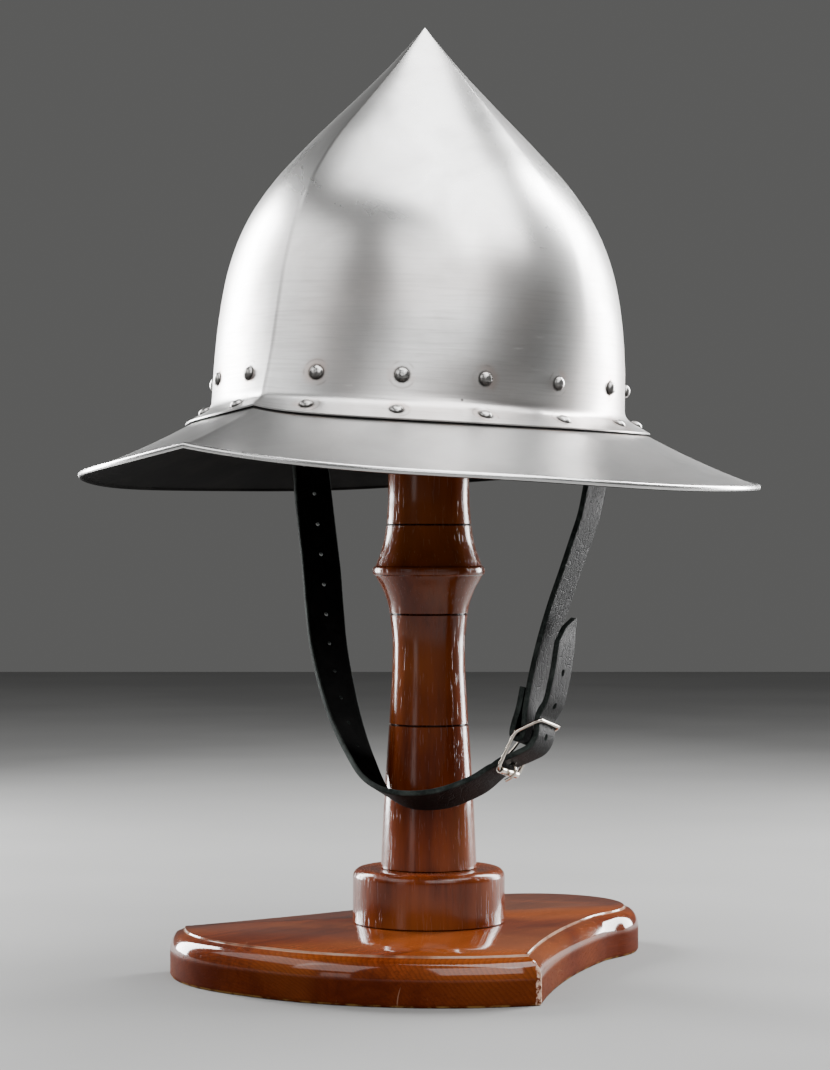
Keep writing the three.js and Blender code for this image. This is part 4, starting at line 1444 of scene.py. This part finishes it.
@dataclass
class KettleHat:
    """The steel hat: crown, brim and rivets."""

    form: HatForm = field(default_factory=HatForm)
    sheet: SteelFinish = SteelFinish(nicks=((0.0809, -0.0789, 0.3078),))
    # The brim takes a darker copy of the crown's steel as painted shade
    shaded_brim_sheet: SteelFinish = SteelFinish(
        "brim_steel_painted_shade",
        colour=(0.37, 0.37, 0.368),
        shade=(0.29, 0.289, 0.287),
        roughness=0.31,
        warm_share=0.1,
        brush_span=(0.4, 0.5),
    )
    # Brighter steel that paints the highlight along the top of the rolled edge
    bead: SteelFinish = SteelFinish(
        "rim_steel_painted_highlight",
        colour=(0.7, 0.7, 0.695),
        shade=(0.6, 0.6, 0.597),
        roughness=0.22,
        warm_share=0,
        brush=0.00001,
        waviness=0.0001,
    )

    def build(self) -> None:
        """Make the pieces, dress them, and set them in place of their nodes."""
        sheet, shaded_brim_sheet, bead = (finish.material() for finish in (self.sheet, self.shaded_brim_sheet, self.bead))
        # Near-black steel that paints shade on the inside, the undersides and the lower edges
        inside = InsideSteelPaintedShade().material()
        heads = RivetFinish().material()
        crown = Crown(self.form).build(sheet, inside)
        brim = Brim(self.form).build(shaded_brim_sheet, inside, bead)
        for piece, node in ((crown, "crown"), (brim, "brim")):
            self.form.mark_rivets(piece, node == "brim")
            hand_over(piece, Slot.STEEL, node)
        rivets = Rivets(self.form)
        for row in RivetRow:
            for index in range(self.form.rivet_count):
                node = f"{row.value[0]}_rivet_{index + 1:02d}"
                hand_over(rivets.rivet(node, row, index, heads), Slot.RIVET, node)


def hand_over(piece: Piece, slot: Slot, *nodes: str) -> None:
    """Let a piece ride on the part in place of its nodes.

    Args:
        piece: The finished piece.
        slot: Material slot of the record that it belongs to; not used.
        nodes: CAD nodes that it stands for.
    """
    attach(piece, "root")
    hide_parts(*nodes)
    log.info("%s stands for %s, %d faces", piece.name, ", ".join(nodes), len(piece.data.polygons))


# Chin strap


# The long strap's middle line below the brim, on the wearer's right and under the chin, and the short
# strap's on the left: x, y, z, turn of the strap's width and droop of its back edge in degrees
LONG_DROP = (
    (-100.5, 20.5, 274, 17, 3),
    (-97.5, 18.8, 260, 22, 5),
    (-91.5, 15.7, 235.5, 25, 7),
    (-86.3, 12.4, 218, 26, 7),
    (-80.5, 7.8, 197.5, 26, 8),
    (-72.8, 1.8, 176.5, 24, 9),
    (-62, -5.3, 156.5, 20, 11),
    (-47.5, -14.4, 136, 14, 14),
    (-28.9, -25.3, 117.5, 6, 18),
    (-8.7, -35, 102, -2, 22),
    (10.6, -37.6, 96.3, -8, 24),
    (28.4, -28.6, 96.8, -11, 23),
    (43.5, -15.5, 103.8, -13, 19),
)
SHORT_DROP = (
    (96.8, 22.4, 273, -9, 2),
    (95, 21.8, 263, -9, 3),
    (92.6, 20.1, 249, -10, 5),
    (88.6, 17.2, 234, -11, 7),
    (84, 13.8, 217, -12, 9),
    (78.8, 10.4, 199, -13, 11),
    (73.2, 7.6, 177.5, -13.3, 11.5),
)
# The tongue from the buckle's upper bar to its tip: x, y, z, half width at the near and the far edge
TONGUE = (
    (79, 6.5, 148.5, 12, 12),
    (81.9, 7.2, 160, 12, 12),
    (83.8, 7.8, 171, 12, 12),
    (85, 8.5, 181.5, 12, 12),
    (85.3, 8.9, 189, 3, 12),
    (85.9, 9.7, 195, -8.5, 11),
)

Row = tuple[float, ...]


def width_direction(turn: Union[Array, float], droop: Union[Array, float]) -> Array:
    """Direction of a strap's width, from its near edge to its far edge.

    Args:
        turn: Swing from straight back toward the wearer's left, in degrees.
        droop: How far the back edge hangs, in degrees.

    Returns:
        Unit directions.
    """
    turn, droop = np.radians(turn), np.radians(droop)
    back = np.cos(droop)
    return np.stack([np.sin(turn) * back, np.cos(turn) * back, -np.sin(droop) + 0 * turn], -1)


@dataclass
class BuckleForm:
    """Places on the buckle: along it from the middle bar, out from the line of its end bars, and across."""

    middle: Place = (64.6, 0.2, 130.5)
    turn: float = -13.3
    droop: float = 11.5
    rise: Place = (0.584, 0.295, 0.756)
    lower_length: float = 20.5
    upper_length: float = 14.4
    bend: float = 6.25
    half_width: float = 14.5
    wire_radius: float = 1.25
    crossing: float = -14.6

    def __post_init__(self) -> None:
        """Work out the buckle's own directions."""
        self.across = width_direction(self.turn, self.droop)
        up = unit(np.array(self.rise))
        self.up = unit(up - self.across * (up @ self.across))
        self.out = np.cross(self.across, self.up)

    def point(self, along: float, out: float, across: float = 0) -> Array:
        """Point of the buckle in the part's frame."""
        return np.array(self.middle) + self.up * along + self.out * (out + self.bend) + self.across * across


@dataclass
class ChinStrap:
    """The two leather straps, with their punched holes."""

    hat: HatForm
    buckle: BuckleForm
    half_width: float = 12.0
    thick: float = 3.0
    above_rivet: float = 9.0
    wall_clearance: float = 1.2
    slack: float = 0.2
    hole_radius: float = 1.7
    hole_pitch: float = 18.2
    drop_holes: tuple[int, float] = (10, 67.8)
    tongue_holes: tuple[int, float] = (3, 23.6)
    stretch: float = 1.3
    prong_hole: float = 2.5
    rivet_hole: float = 2.35
    folded_end: float = 25.0
    tilt: float = math.radians(33)
    edge_round: float = 0.7
    bulges: tuple[float, float] = (0.12, -0.05)
    station_step: float = 1.3

    def top(self, index: int) -> list[Row]:
        """Rows of the stretch flat against the crown's wall.

        Args:
            index: Number of the rivet that holds it.

        Returns:
            Rows of x, y, z, turn, droop, and half width at the near and the far edge.
        """
        hat = self.hat
        point, normal = hat.seat_of(hat.skull_point, hat.rivet_turn(index), hat.upper_row)
        around = unit(np.cross([0, 0, 1], normal))
        down = unit(np.cross(around, normal))
        down = -down if down[2] > 0 else down
        turn = math.degrees(math.atan(around[0] / around[1]))
        depth = hat.sheet + self.wall_clearance + self.thick / 2 + self.slack
        wide = (self.half_width, self.half_width)
        drops = (-self.above_rivet, 0, 8, 16)
        return [(*(point - normal * depth + down * drop), turn, 0, *wide) for drop in drops]

    def held(self, along: float, out: float) -> Row:
        """Row of a full-width stretch that follows the buckle."""
        buckle = self.buckle
        return (*buckle.point(along, out), buckle.turn, buckle.droop, self.half_width, self.half_width)

    def long_rows(self) -> list[Row]:
        """Rows of the long strap, which goes inside the roller, over the middle bar and inside the upper bar.

        Returns:
            Rows as from `top`.
        """
        buckle = self.buckle
        through = [(-24, -5), (-17, -3.4), (-8, 1), (0, 3.9), (7, 2.2), (buckle.upper_length, -3.8)]
        return [
            *self.top(RIGHT_RIVET),
            *[(*row, self.half_width, self.half_width) for row in LONG_DROP],
            *[self.held(along, out) for along, out in through],
            *[(*row[:3], buckle.turn, buckle.droop, *row[3:]) for row in TONGUE],
        ]

    def short_rows(self) -> list[Row]:
        """Rows of the short strap, which goes round the buckle's middle bar and back up.

        Returns:
            Rows as from `top`.
        """
        buckle = self.buckle
        up = (math.cos(self.tilt), -math.sin(self.tilt))
        off = (math.sin(self.tilt), math.cos(self.tilt))

        def place(rise: float, aside: float) -> Row:
            """Row at a rise from the middle bar and a distance to the outer side."""
            along, out = rise * up[0] + aside * off[0], rise * up[1] + aside * off[1]
            return self.held(along, out - buckle.bend)

        reach = buckle.wire_radius + self.hat.gap + self.thick / 2
        return [
            *self.top(LEFT_RIVET),
            *[(*row, self.half_width, self.half_width) for row in SHORT_DROP],
            *[place(rise, aside) for rise, aside in ((self.folded_end, 1.9), (13, 2.1), (5, 2.9))],
            *[place(-reach * math.sin(a), reach * math.cos(a)) for a in np.linspace(0, math.pi, 7)],
            *[place(rise, aside) for rise, aside in ((5, -2.9), (13, -1.9), (self.folded_end, -1.7))],
        ]

    def section(self, near: Array, far: Array) -> tuple[Array, list[int]]:
        """Rounded outline of a strap: far edge, outer face, near edge, inner face.

        Args:
            near: Half width at the near edge, at each point along the strap.
            far: Half width at the far edge.

        Returns:
            One outline for each point along it, and the side of each strip of faces: 0 for the outer
            face, 1 for the inner one and 2 for the edges.
        """
        r, half = self.edge_round, self.thick / 2
        arc = [(math.cos(a), math.sin(a)) for a in np.radians(np.linspace(0, 90, 4))]
        shares = np.linspace(-1, 1, 9)[1:-1]
        low, high = -near + r, far - r
        ring, sides = [], []

        def add(across: Array, depth: float, side: int) -> None:
            """Add a point of the outline."""
            ring.append(np.stack([across, np.full(len(near), depth)], -1))
            sides.append(side)

        for edge, face, backward in ((1, 1, False), (-1, 1, True), (-1, -1, False), (1, -1, True)):
            for c, s in reversed(arc) if backward else arc:
                add((far if edge > 0 else -near) + edge * r * (c - 1), face * (half - r + r * s), 2)
            if backward:
                continue
            side = 0 if face > 0 else 1
            for share in shares[::-1] if face > 0 else shares:
                bulge = self.bulges[side] * share**2
                add(low + (high - low) * (share + 1) / 2, face * half - bulge, side)
        strips = [a if a == b else min(a, b) for a, b in zip(sides, sides[1:] + sides[:1])]
        return np.stack(ring, 1), strips

    def body(self, name: str, table: Array, materials: Sequence[Material]) -> tuple[Piece, Route]:
        """Make a strap without its holes.

        Args:
            name: Name of the piece.
            table: Its rows.
            materials: Leather of its outer face, inner face and edges.

        Returns:
            The object and the route of its middle line.
        """
        route = Route(table[:, :3])
        lengths = np.linspace(0, route.length, int(route.length / self.station_step))
        knots = route.knot(lengths)
        turn, droop, near, far = (np.interp(knots, np.arange(len(table)), table[:, c]) for c in range(3, 7))
        centre, tangent = route.at(lengths), route.tangent(lengths)
        tangent[0], tangent[-1] = tangent[1], tangent[-2]
        width = width_direction(turn, droop)
        width = unit(width - tangent * (width * tangent).sum(-1, keepdims=True))
        outline, strips = self.section(near, far)
        work = MeshWork()
        work.tube(section_ring(centre, width, np.cross(tangent, width), outline), ends=2)
        work.finishes[:-2] = strips * (len(lengths) - 1)
        return work.piece(name, materials, 45), route

    def punches(
        self, route: Route, table: Array, lengths: Iterable[float], radius: float, edge: Material
    ) -> list[Piece]:
        """Make closed pins that cut the holes.

        Args:
            route: The strap's middle line.
            table: Its rows, for the width's direction.
            lengths: Places of the holes along it.
            radius: Radius of the holes.
            edge: Material of the cut leather.

        Returns:
            The pins.
        """
        # The punch leaves a hole that narrows toward the side that it came from
        profile = radius * np.array([(0, 2), (0.66, 2), (0.7, 0.3), (0.92, -0.8), (1.02, -2), (0, -2)])
        pins = []
        for k, length in enumerate(lengths):
            knot = route.knot(length)
            width = width_direction(*(np.interp(knot, np.arange(len(table)), table[:, c]) for c in (3, 4)))
            tangent = route.tangent(length)
            width = unit(width - tangent * (width @ tangent))
            pin = turned(profile, 20).piece(f"punch_{k:02d}", [edge])
            seated(pin, route.at(length), np.cross(tangent, width))
            pins.append(pin)
        return pins

    def prong_slot(self, edge: Material) -> Piece:
        """Make a closed block that cuts the slot for the prong in the fold.

        Args:
            edge: Material of the cut leather.

        Returns:
            The block.
        """
        buckle = self.buckle
        outline = [(-2.5, -6), (2.5, -6), (2.5, 6), (-2.5, 6)]
        ends = [
            [buckle.point(along, out - buckle.bend, across) for across, out in outline]
            for along in (-7.5, 5.5)
        ]
        work = MeshWork()
        work.tube(np.array(ends))
        return work.piece("prong_slot", [edge])

    def build(self) -> None:
        """Make both straps, punch them, and set them in place of their nodes."""
        grain, flesh, edge = (LeatherFinish(hide).material() for hide in Hide)
        table = np.array(self.long_rows())
        strap, route = self.body("long_strap_leather", table, [flesh, grain, edge])
        lengths = np.arange(0, route.length, 0.4)
        target = self.buckle.point(self.buckle.crossing - 0.7, -2.2)
        prong = lengths[np.argmin(np.linalg.norm(route.at(lengths) - target, axis=1))]
        pins = []
        rows_of_holes = ((0, self.drop_holes, 1), (prong, self.tongue_holes, self.stretch))
        for start, (count, first), stretch in rows_of_holes:
            holes = [start + first + k * self.hole_pitch for k in range(count)]
            pins += self.punches(route, table, holes, self.hole_radius * stretch, edge)
        pins += self.punches(route, table, [prong], self.prong_hole, edge)
        pins += self.punches(route, table, [self.above_rivet], self.rivet_hole, edge)
        without(strap, pins, 45)
        hand_over(strap, Slot.LEATHER, "strap_long")

        table = np.array(self.short_rows())
        strap, route = self.body("short_strap_leather", table, [grain, flesh, edge])
        pins = self.punches(route, table, [self.above_rivet], self.rivet_hole, edge)
        without(strap, [*pins, self.prong_slot(edge)], 45)
        hand_over(strap, Slot.LEATHER, "strap_short")


@dataclass
class Buckle:
    """Nickel wire buckle with roller and prong."""

    form: BuckleForm
    corner: float = 3.0
    wire_radius: float = 1.0
    roller_radius: float = 2.2
    roller_length: float = 23.0
    prong_radius: float = 0.9
    play: float = 0.35

    def frame(self, nickel: Material) -> None:
        """Make the bent wire frame with its middle bar.

        Args:
            nickel: Its material.
        """
        form, side = self.form, self.form.half_width
        lengths = ((-form.lower_length, 0), (0, -form.bend), (form.upper_length, 0))
        corners = [form.point(*place, side) for place in lengths]
        corners += [form.point(*place, -side) for place in reversed(lengths)]
        work = MeshWork()
        wire(work, rounded_corners(np.array(corners), self.corner, 9), self.wire_radius, form.out, True)
        ends = (form.point(0, -form.bend, 0.6 - side), form.point(0, -form.bend, side - 0.6))
        wire(work, np.linspace(*ends, 12), self.wire_radius, form.out, False)
        hand_over(work.piece("buckle_wire", [nickel]), Slot.NICKEL, "buckle_frame")

    def roller(self, nickel: Material) -> None:
        """Make the roller on the lower bar.

        Args:
            nickel: Its material.
        """
        half, outer, bore = self.roller_length / 2, self.roller_radius, self.form.wire_radius + self.play
        profile = [(bore, -half), (outer - 0.2, -half), (outer, -half + 0.3), (outer, half - 0.3)]
        profile += [(outer - 0.2, half), (bore, half), (bore, -half)]
        piece = turned(profile, 28).piece("buckle_sleeve", [nickel], 30)
        seated(piece, self.form.point(-self.form.lower_length, 0), self.form.across)
        hand_over(piece, Slot.NICKEL, "buckle_roller")

    def prong(self, nickel: Material) -> None:
        """Make the prong: an eye round the middle bar, and an arm through the strap and over the roller.

        Args:
            nickel: Its material.
        """
        form, radius, cross = self.form, self.prong_radius, self.form.crossing
        lower, bend = -form.lower_length, -form.bend
        reach = form.wire_radius + self.play + radius
        angles = np.linspace(0, FULL_TURN, 24, endpoint=False)
        eye = [form.point(reach * math.cos(a), bend + reach * math.sin(a)) for a in angles]
        places = [
            (-2.3, bend - 0.6),
            (-8, -6.4),
            (-13, -6.2),
            (cross - 0.2, -4.4),
            (cross - 1.2, 1),
            (cross - 2.6, 2.9),
            (lower, self.roller_radius + 0.3 + radius + 0.2),
            (lower - 4.4, 2.2),
        ]
        arm = Route(np.array([form.point(*place) for place in places]))
        work = MeshWork()
        wire(work, np.array(eye), radius, form.across, True, 10)
        wire(work, arm.at(np.linspace(0, arm.length, 50)), radius, form.across, False, 10)
        hand_over(work.piece("buckle_tongue", [nickel]), Slot.NICKEL, "buckle_prong")

    def build(self) -> None:
        """Make the buckle's pieces and set them in place of their nodes."""
        nickel = NickelFinish().material()
        self.frame(nickel)
        self.roller(nickel)
        self.prong(nickel)


# Stand


# The post's turned outside in runs between its cut lines and its ring: height and radius
POST_RUNS = (
    ((55.8, 26.4), (70, 25.75), (95, 24.5), (120, 22.9), (133.7, 21.9)),
    ((135.1, 21.8), (153, 20.7), (168, 20.0), (181, 20.0), (190, 20.8), (194.5, 21.3)),
    ((195.7, 21.5), (200, 22.2), (205, 23.8), (210, 26.0), (215.4, 29.0)),
    ((222.1, 29.1), (226, 27.6), (233, 25.3), (239, 24.1), (243.7, 23.5)),
    ((244.9, 23.3), (251, 22.8), (258, 22.4), (280, 22.4)),
)
# What is cut or left standing after each run but the last: a groove is one point at its bottom
POST_CUTS = (
    ((134.4, 21.0),),
    ((195.1, 20.6),),
    ((216.2, 29.3), (216.9, 30.4), (217.9, 30.9), (220.0, 30.9), (221, 30.4), (221.7, 29.3)),
    ((244.3, 22.5),),
)
# Radius and height of the head's outside, from its underside's edge to its top's
HEAD = ((24, -40), (27, -27), (44, -19), (48, -9), (46, 0), (36, 6), (18, 10))


@dataclass
class Stand:
    """Turned wooden stand with its shaped board."""

    hat: HatForm
    head_radius: float = 46.0
    head_limit: float = 47.9
    head_depth: tuple[float, float] = (40, 11)
    boss_radius: float = 41.9
    boss_top: float = 55.5
    boss_round: float = 5.0
    board_thick: float = 25.5
    board_round: Place = (13.5, 10.2, 7.0)
    gap: float = 0.3
    ring_step: float = 1.6
    right_corner: tuple[float, float] = (124, -69.5)
    left_corner: tuple[float, float] = (-104, -96.5)
    lobe: tuple[float, float] = (3, 98)
    lobe_radius: float = 59.5
    grooves: Place = (0.1344, 0.1951, 0.2443)
    raw_edge: tuple[float, float] = (0.0243, 0.0255)
    chip: tuple[float, float] = (0.124, -0.0695)

    def head(self, wood: Material) -> float:
        """Make the turned head inside the crown.

        Args:
            wood: Its material.

        Returns:
            Height of its underside in the part's frame.
        """
        hat, (below, above) = self.hat, self.head_depth
        turns = np.linspace(0, 1, 48, endpoint=False)
        low, high = 100.0, 200.0
        for _ in range(40):
            middle = (low + high) / 2
            point = hat.skull_point(turns, np.full_like(turns, middle))
            slope = float(hat.read("side", middle - 2.0) - hat.read("side", middle + 2.0)) / 4
            room = np.hypot(point[:, 0], point[:, 1]).min() - hat.sheet * math.hypot(1, slope)
            low, high = (middle, high) if room > self.head_radius + 0.75 else (low, middle)
        height = hat.bend_height + low
        knots = np.array(HEAD, float)
        rings = Route(np.column_stack([knots, np.zeros(len(knots))]))
        fine = rings.at(np.linspace(0, rings.length, 60))[:, :2]
        fine[:, 0] = np.minimum(fine[:, 0], self.head_limit)
        work = turned(np.vstack([[0, -below], fine, [0, above]]) + [0, height], 96)
        work.points = [hat.placed(points) for points in work.points]
        hand_over(work.piece("head_wood", [wood]), Slot.WOOD, "stand_head")
        return hat.seat[2] + height - below

    def post(self, top: float, wood: Material) -> None:
        """Make the post.

        Args:
            top: Height of its upper end.
            wood: Its material.
        """
        foot, neck = POST_RUNS[0][0][0], POST_RUNS[-1]
        profile = [(0.0, foot)]
        for run, cut in zip((*POST_RUNS[:-1], (*neck, (top, neck[-1][1]))), (*POST_CUTS, ())):
            z, r = np.array(run).T
            fine = np.linspace(z[0], z[-1], max(int((z[-1] - z[0]) / self.ring_step), 3))
            profile += list(zip(smooth(z, r, fine), fine))
            profile += [(radius, height) for height, radius in cut]
        profile.append((0.0, top))
        hand_over(turned(profile, 120).piece("post_wood", [wood], 28), Slot.WOOD, "stand_post")

    def boss(self, wood: Material) -> None:
        """Make the post's round foot.

        Args:
            wood: Its material.
        """
        bottom, radius, top, r = self.board_thick + self.gap, self.boss_radius, self.boss_top, self.boss_round
        bend = np.radians(np.linspace(0, 90, 10))
        arc = [(radius - r + r * math.cos(a), top - r + r * math.sin(a)) for a in bend]
        lip = [(30, top), (28.5, top - 0.5), (27.2, top - 0.2), (0, top - 0.2)]
        wall = [(radius, z) for z in np.linspace(bottom + 0.5, top - r, 12)[:-1]]
        work = turned([(0, bottom), (radius - 0.5, bottom), *wall, *arc, *lip], 120)
        hand_over(work.piece("boss_wood", [wood]), Slot.WOOD, "stand_boss")

    @staticmethod
    def curve(*control: Sequence[float]) -> Array:
        """Lay a curve between two points.

        Args:
            control: Its start, the points that pull it, and its end.

        Returns:
            Its points without the last.
        """
        t = np.linspace(0, 1, 40, endpoint=False)[:, None]
        order = len(control) - 1
        terms = [math.comb(order, k) * (1 - t) ** (order - k) * t**k for k in range(order + 1)]
        return sum(term * np.asarray(point, float) for term, point in zip(terms, control))

    def outline(self) -> Array:
        """Lay the plan of the board.

        Returns:
            Its points, counterclockwise from its right-hand corner.
        """
        right, left, centre = (np.array(c) for c in (self.right_corner, self.left_corner, self.lobe))
        radius, front = self.lobe_radius, (2, -138)
        angle = np.linspace(-0.02, math.pi + 0.02, 60)
        lobe = centre + radius * np.stack([np.cos(angle), np.sin(angle)], -1)
        return np.vstack(
            [
                self.curve(right, (80, 10), centre + [radius, -12]),
                lobe,
                self.curve(lobe[-1], (-74, -8), left),
                self.curve(left, (-70, -140), (-30, -138), front),
                self.curve(front, (48, -137.5), (100, -112), right),
            ]
        )

    def board(self, wood: Material) -> None:
        """Make the board with its rounded-over edge and small step.

        Args:
            wood: Its material.
        """
        line = self.outline()
        before = unit(line - np.roll(line, 1, 0))
        after = unit(np.roll(line, -1, 0) - line)
        inward = unit(np.stack([-(before + after)[:, 1], (before + after)[:, 0]], -1))
        share = np.maximum((inward * np.stack([-before[:, 1], before[:, 0]], -1)).sum(-1, keepdims=True), 0.5)
        dice = np.random.default_rng(7)
        start, rise, depth = self.board_round
        bend = np.radians(np.linspace(12, 84, 9))
        # Height and inset of each ring of points up the edge
        edge = [(0.0, 1.2), (0.3, 0.5), *[(z, 0.0) for z in np.linspace(1.2, start, 10)]]
        edge += [(start + rise * math.sin(a), depth * (1 - math.cos(a))) for a in bend]
        edge += [(24.2, 7.2), (24.5, 7.9), (25.2, 8.1), (self.board_thick, 8.6)]
        grid = []
        for z, inset in edge:
            flat = line + inward * inset / share
            for place, chipped in ((0, 0.6), (1, 0.4), (-1, 0.3)):
                flat[place] += inward[place] * dice.uniform(0, chipped) * (0.6 < z < 24)
            grid.append(np.column_stack([flat, np.full(len(flat), z)]))
        work = MeshWork()
        work.tube(np.array(grid))
        hand_over(work.piece("board_wood", [wood], 32), Slot.WOOD, "stand_board")

    def build(self) -> None:
        """Make the stand's pieces and set them in place of their nodes."""
        post = WoodFinish("post_varnish", (1, 1, 0.06), 1.41, 0.08, groove_lines=self.grooves)
        board = WoodFinish("board_varnish", (1, 0.08, 1), 1.05, 0.9, worn=self.raw_edge, chipped=self.chip)
        upright, plank = post.material(), board.material()
        bottom = self.head(upright)
        self.post(bottom - 1, upright)
        self.boss(upright)
        self.board(plank)


# Studio


@dataclass(frozen=True)
class Lamp:
    """One soft light."""

    name: str
    bearing: float
    distance: float
    height: float
    size: tuple[float, float]
    power: float
    aim: Optional[float] = 0.38


LAMPS = (
    Lamp("overhead", 60, 0.92, 1.9, (2.5, 1.5), 85, None),
    Lamp("right_panel", 126, 1.25, 0.79, (0.44, 1.53), 69, 0.6),
    Lamp("left_panel", -130, 1.25, 0.53, (0.46, 1.03), 57, 0.45),
    Lamp("front_fill", 19, 2.0, 1.42, (1.7, 1.5), 28),
    Lamp("left_fill", -84, 1.5, 1.4, (1.4, 1.0), 9),
    Lamp("low_left_fill", -50, 1.6, 1.15, (0.9, 1.1), 8),
    Lamp("low_strip", -42, 1.6, 0.18, (0.34, 0.34), 0.5, 0.18),
)


@dataclass
class Studio:
    """Camera at the photograph's place, pale floor and soft lights."""

    azimuth: float = VIEW_BEARING
    pitch: float = 90.06
    distance: float = 1.6
    height: float = 0.237
    shift_left: float = 0.0076
    lens: float = 97.57
    surroundings: Colour = (0.11, 0.11, 0.108)
    floor_reach: float = 5

    def spot(self, bearing: float, distance: float, height: float) -> Vector:
        """Find a place around the hat.

        Args:
            bearing: Degrees to the right of the camera, as seen from the hat.
            distance: Metres from the stand's axis.
            height: Metres above the floor.

        Returns:
            The place.
        """
        toward = Vector((math.sin(self.azimuth), -math.cos(self.azimuth), 0))
        right = Vector((math.cos(self.azimuth), math.sin(self.azimuth), 0))
        angle = math.radians(bearing)
        return (toward * math.cos(angle) + right * math.sin(angle)) * distance + Vector((0, 0, height))

    def camera(self) -> None:
        """Make the camera."""
        data = bpy.data.cameras.new("camera")
        data.lens = self.lens
        data.sensor_width = 36
        data.clip_end = 50
        camera = bpy.data.objects.new("camera", data)
        right = Vector((math.cos(self.azimuth), math.sin(self.azimuth), 0))
        camera.location = self.spot(0, self.distance, self.height) - right * self.shift_left
        camera.rotation_euler = (math.radians(self.pitch), 0, self.azimuth)
        bpy.context.scene.collection.objects.link(camera)
        bpy.context.scene.camera = camera

    def light(self, lamp: Lamp) -> None:
        """Make a soft light.

        Args:
            lamp: Its place, size and power.
        """
        data = bpy.data.lights.new(lamp.name, "AREA")
        data.shape = "RECTANGLE"
        data.size, data.size_y = lamp.size
        data.energy = lamp.power
        light = bpy.data.objects.new(lamp.name, data)
        light.location = place = self.spot(lamp.bearing, lamp.distance, lamp.height)
        aim = self.spot(lamp.bearing, lamp.distance, 0) if lamp.aim is None else Vector((0, 0, lamp.aim))
        light.rotation_euler = (aim - place).to_track_quat("-Z", "Y").to_euler()
        light.visible_camera = False
        bpy.context.scene.collection.objects.link(light)

    def floor(self) -> None:
        """Make the floor."""
        pairs = ((-45, 45), (-135, 135))
        corners = [[self.spot(bearing, self.floor_reach, 0) / MM for bearing in pair] for pair in pairs]
        work = MeshWork()
        work.sheet(np.array(corners, float), ring_columns=False)
        floor = work.piece("floor", [FloorFinish().material()])

    def build(self) -> None:
        """Make the camera, the lights, the surroundings and the floor."""
        self.camera()
        for lamp in LAMPS:
            self.light(lamp)
        world = bpy.data.worlds.new("surroundings")
        world.use_nodes = True
        background = world.node_tree.nodes["Background"].inputs
        background["Color"].default_value = (*self.surroundings, 1)
        background["Strength"].default_value = 1.0
        bpy.context.scene.world = world
        self.floor()


def main() -> None:
    """Build the studio and every piece of the hat, its strap and its stand."""
    logging.basicConfig(level=logging.INFO, format="%(message)s")
    Studio().build()
    hat = KettleHat()
    hat.build()
    buckle = BuckleForm()
    ChinStrap(hat.form, buckle).build()
    Buckle(buckle).build()
    Stand(hat.form).build()


if __name__ == "__main__":
    main()
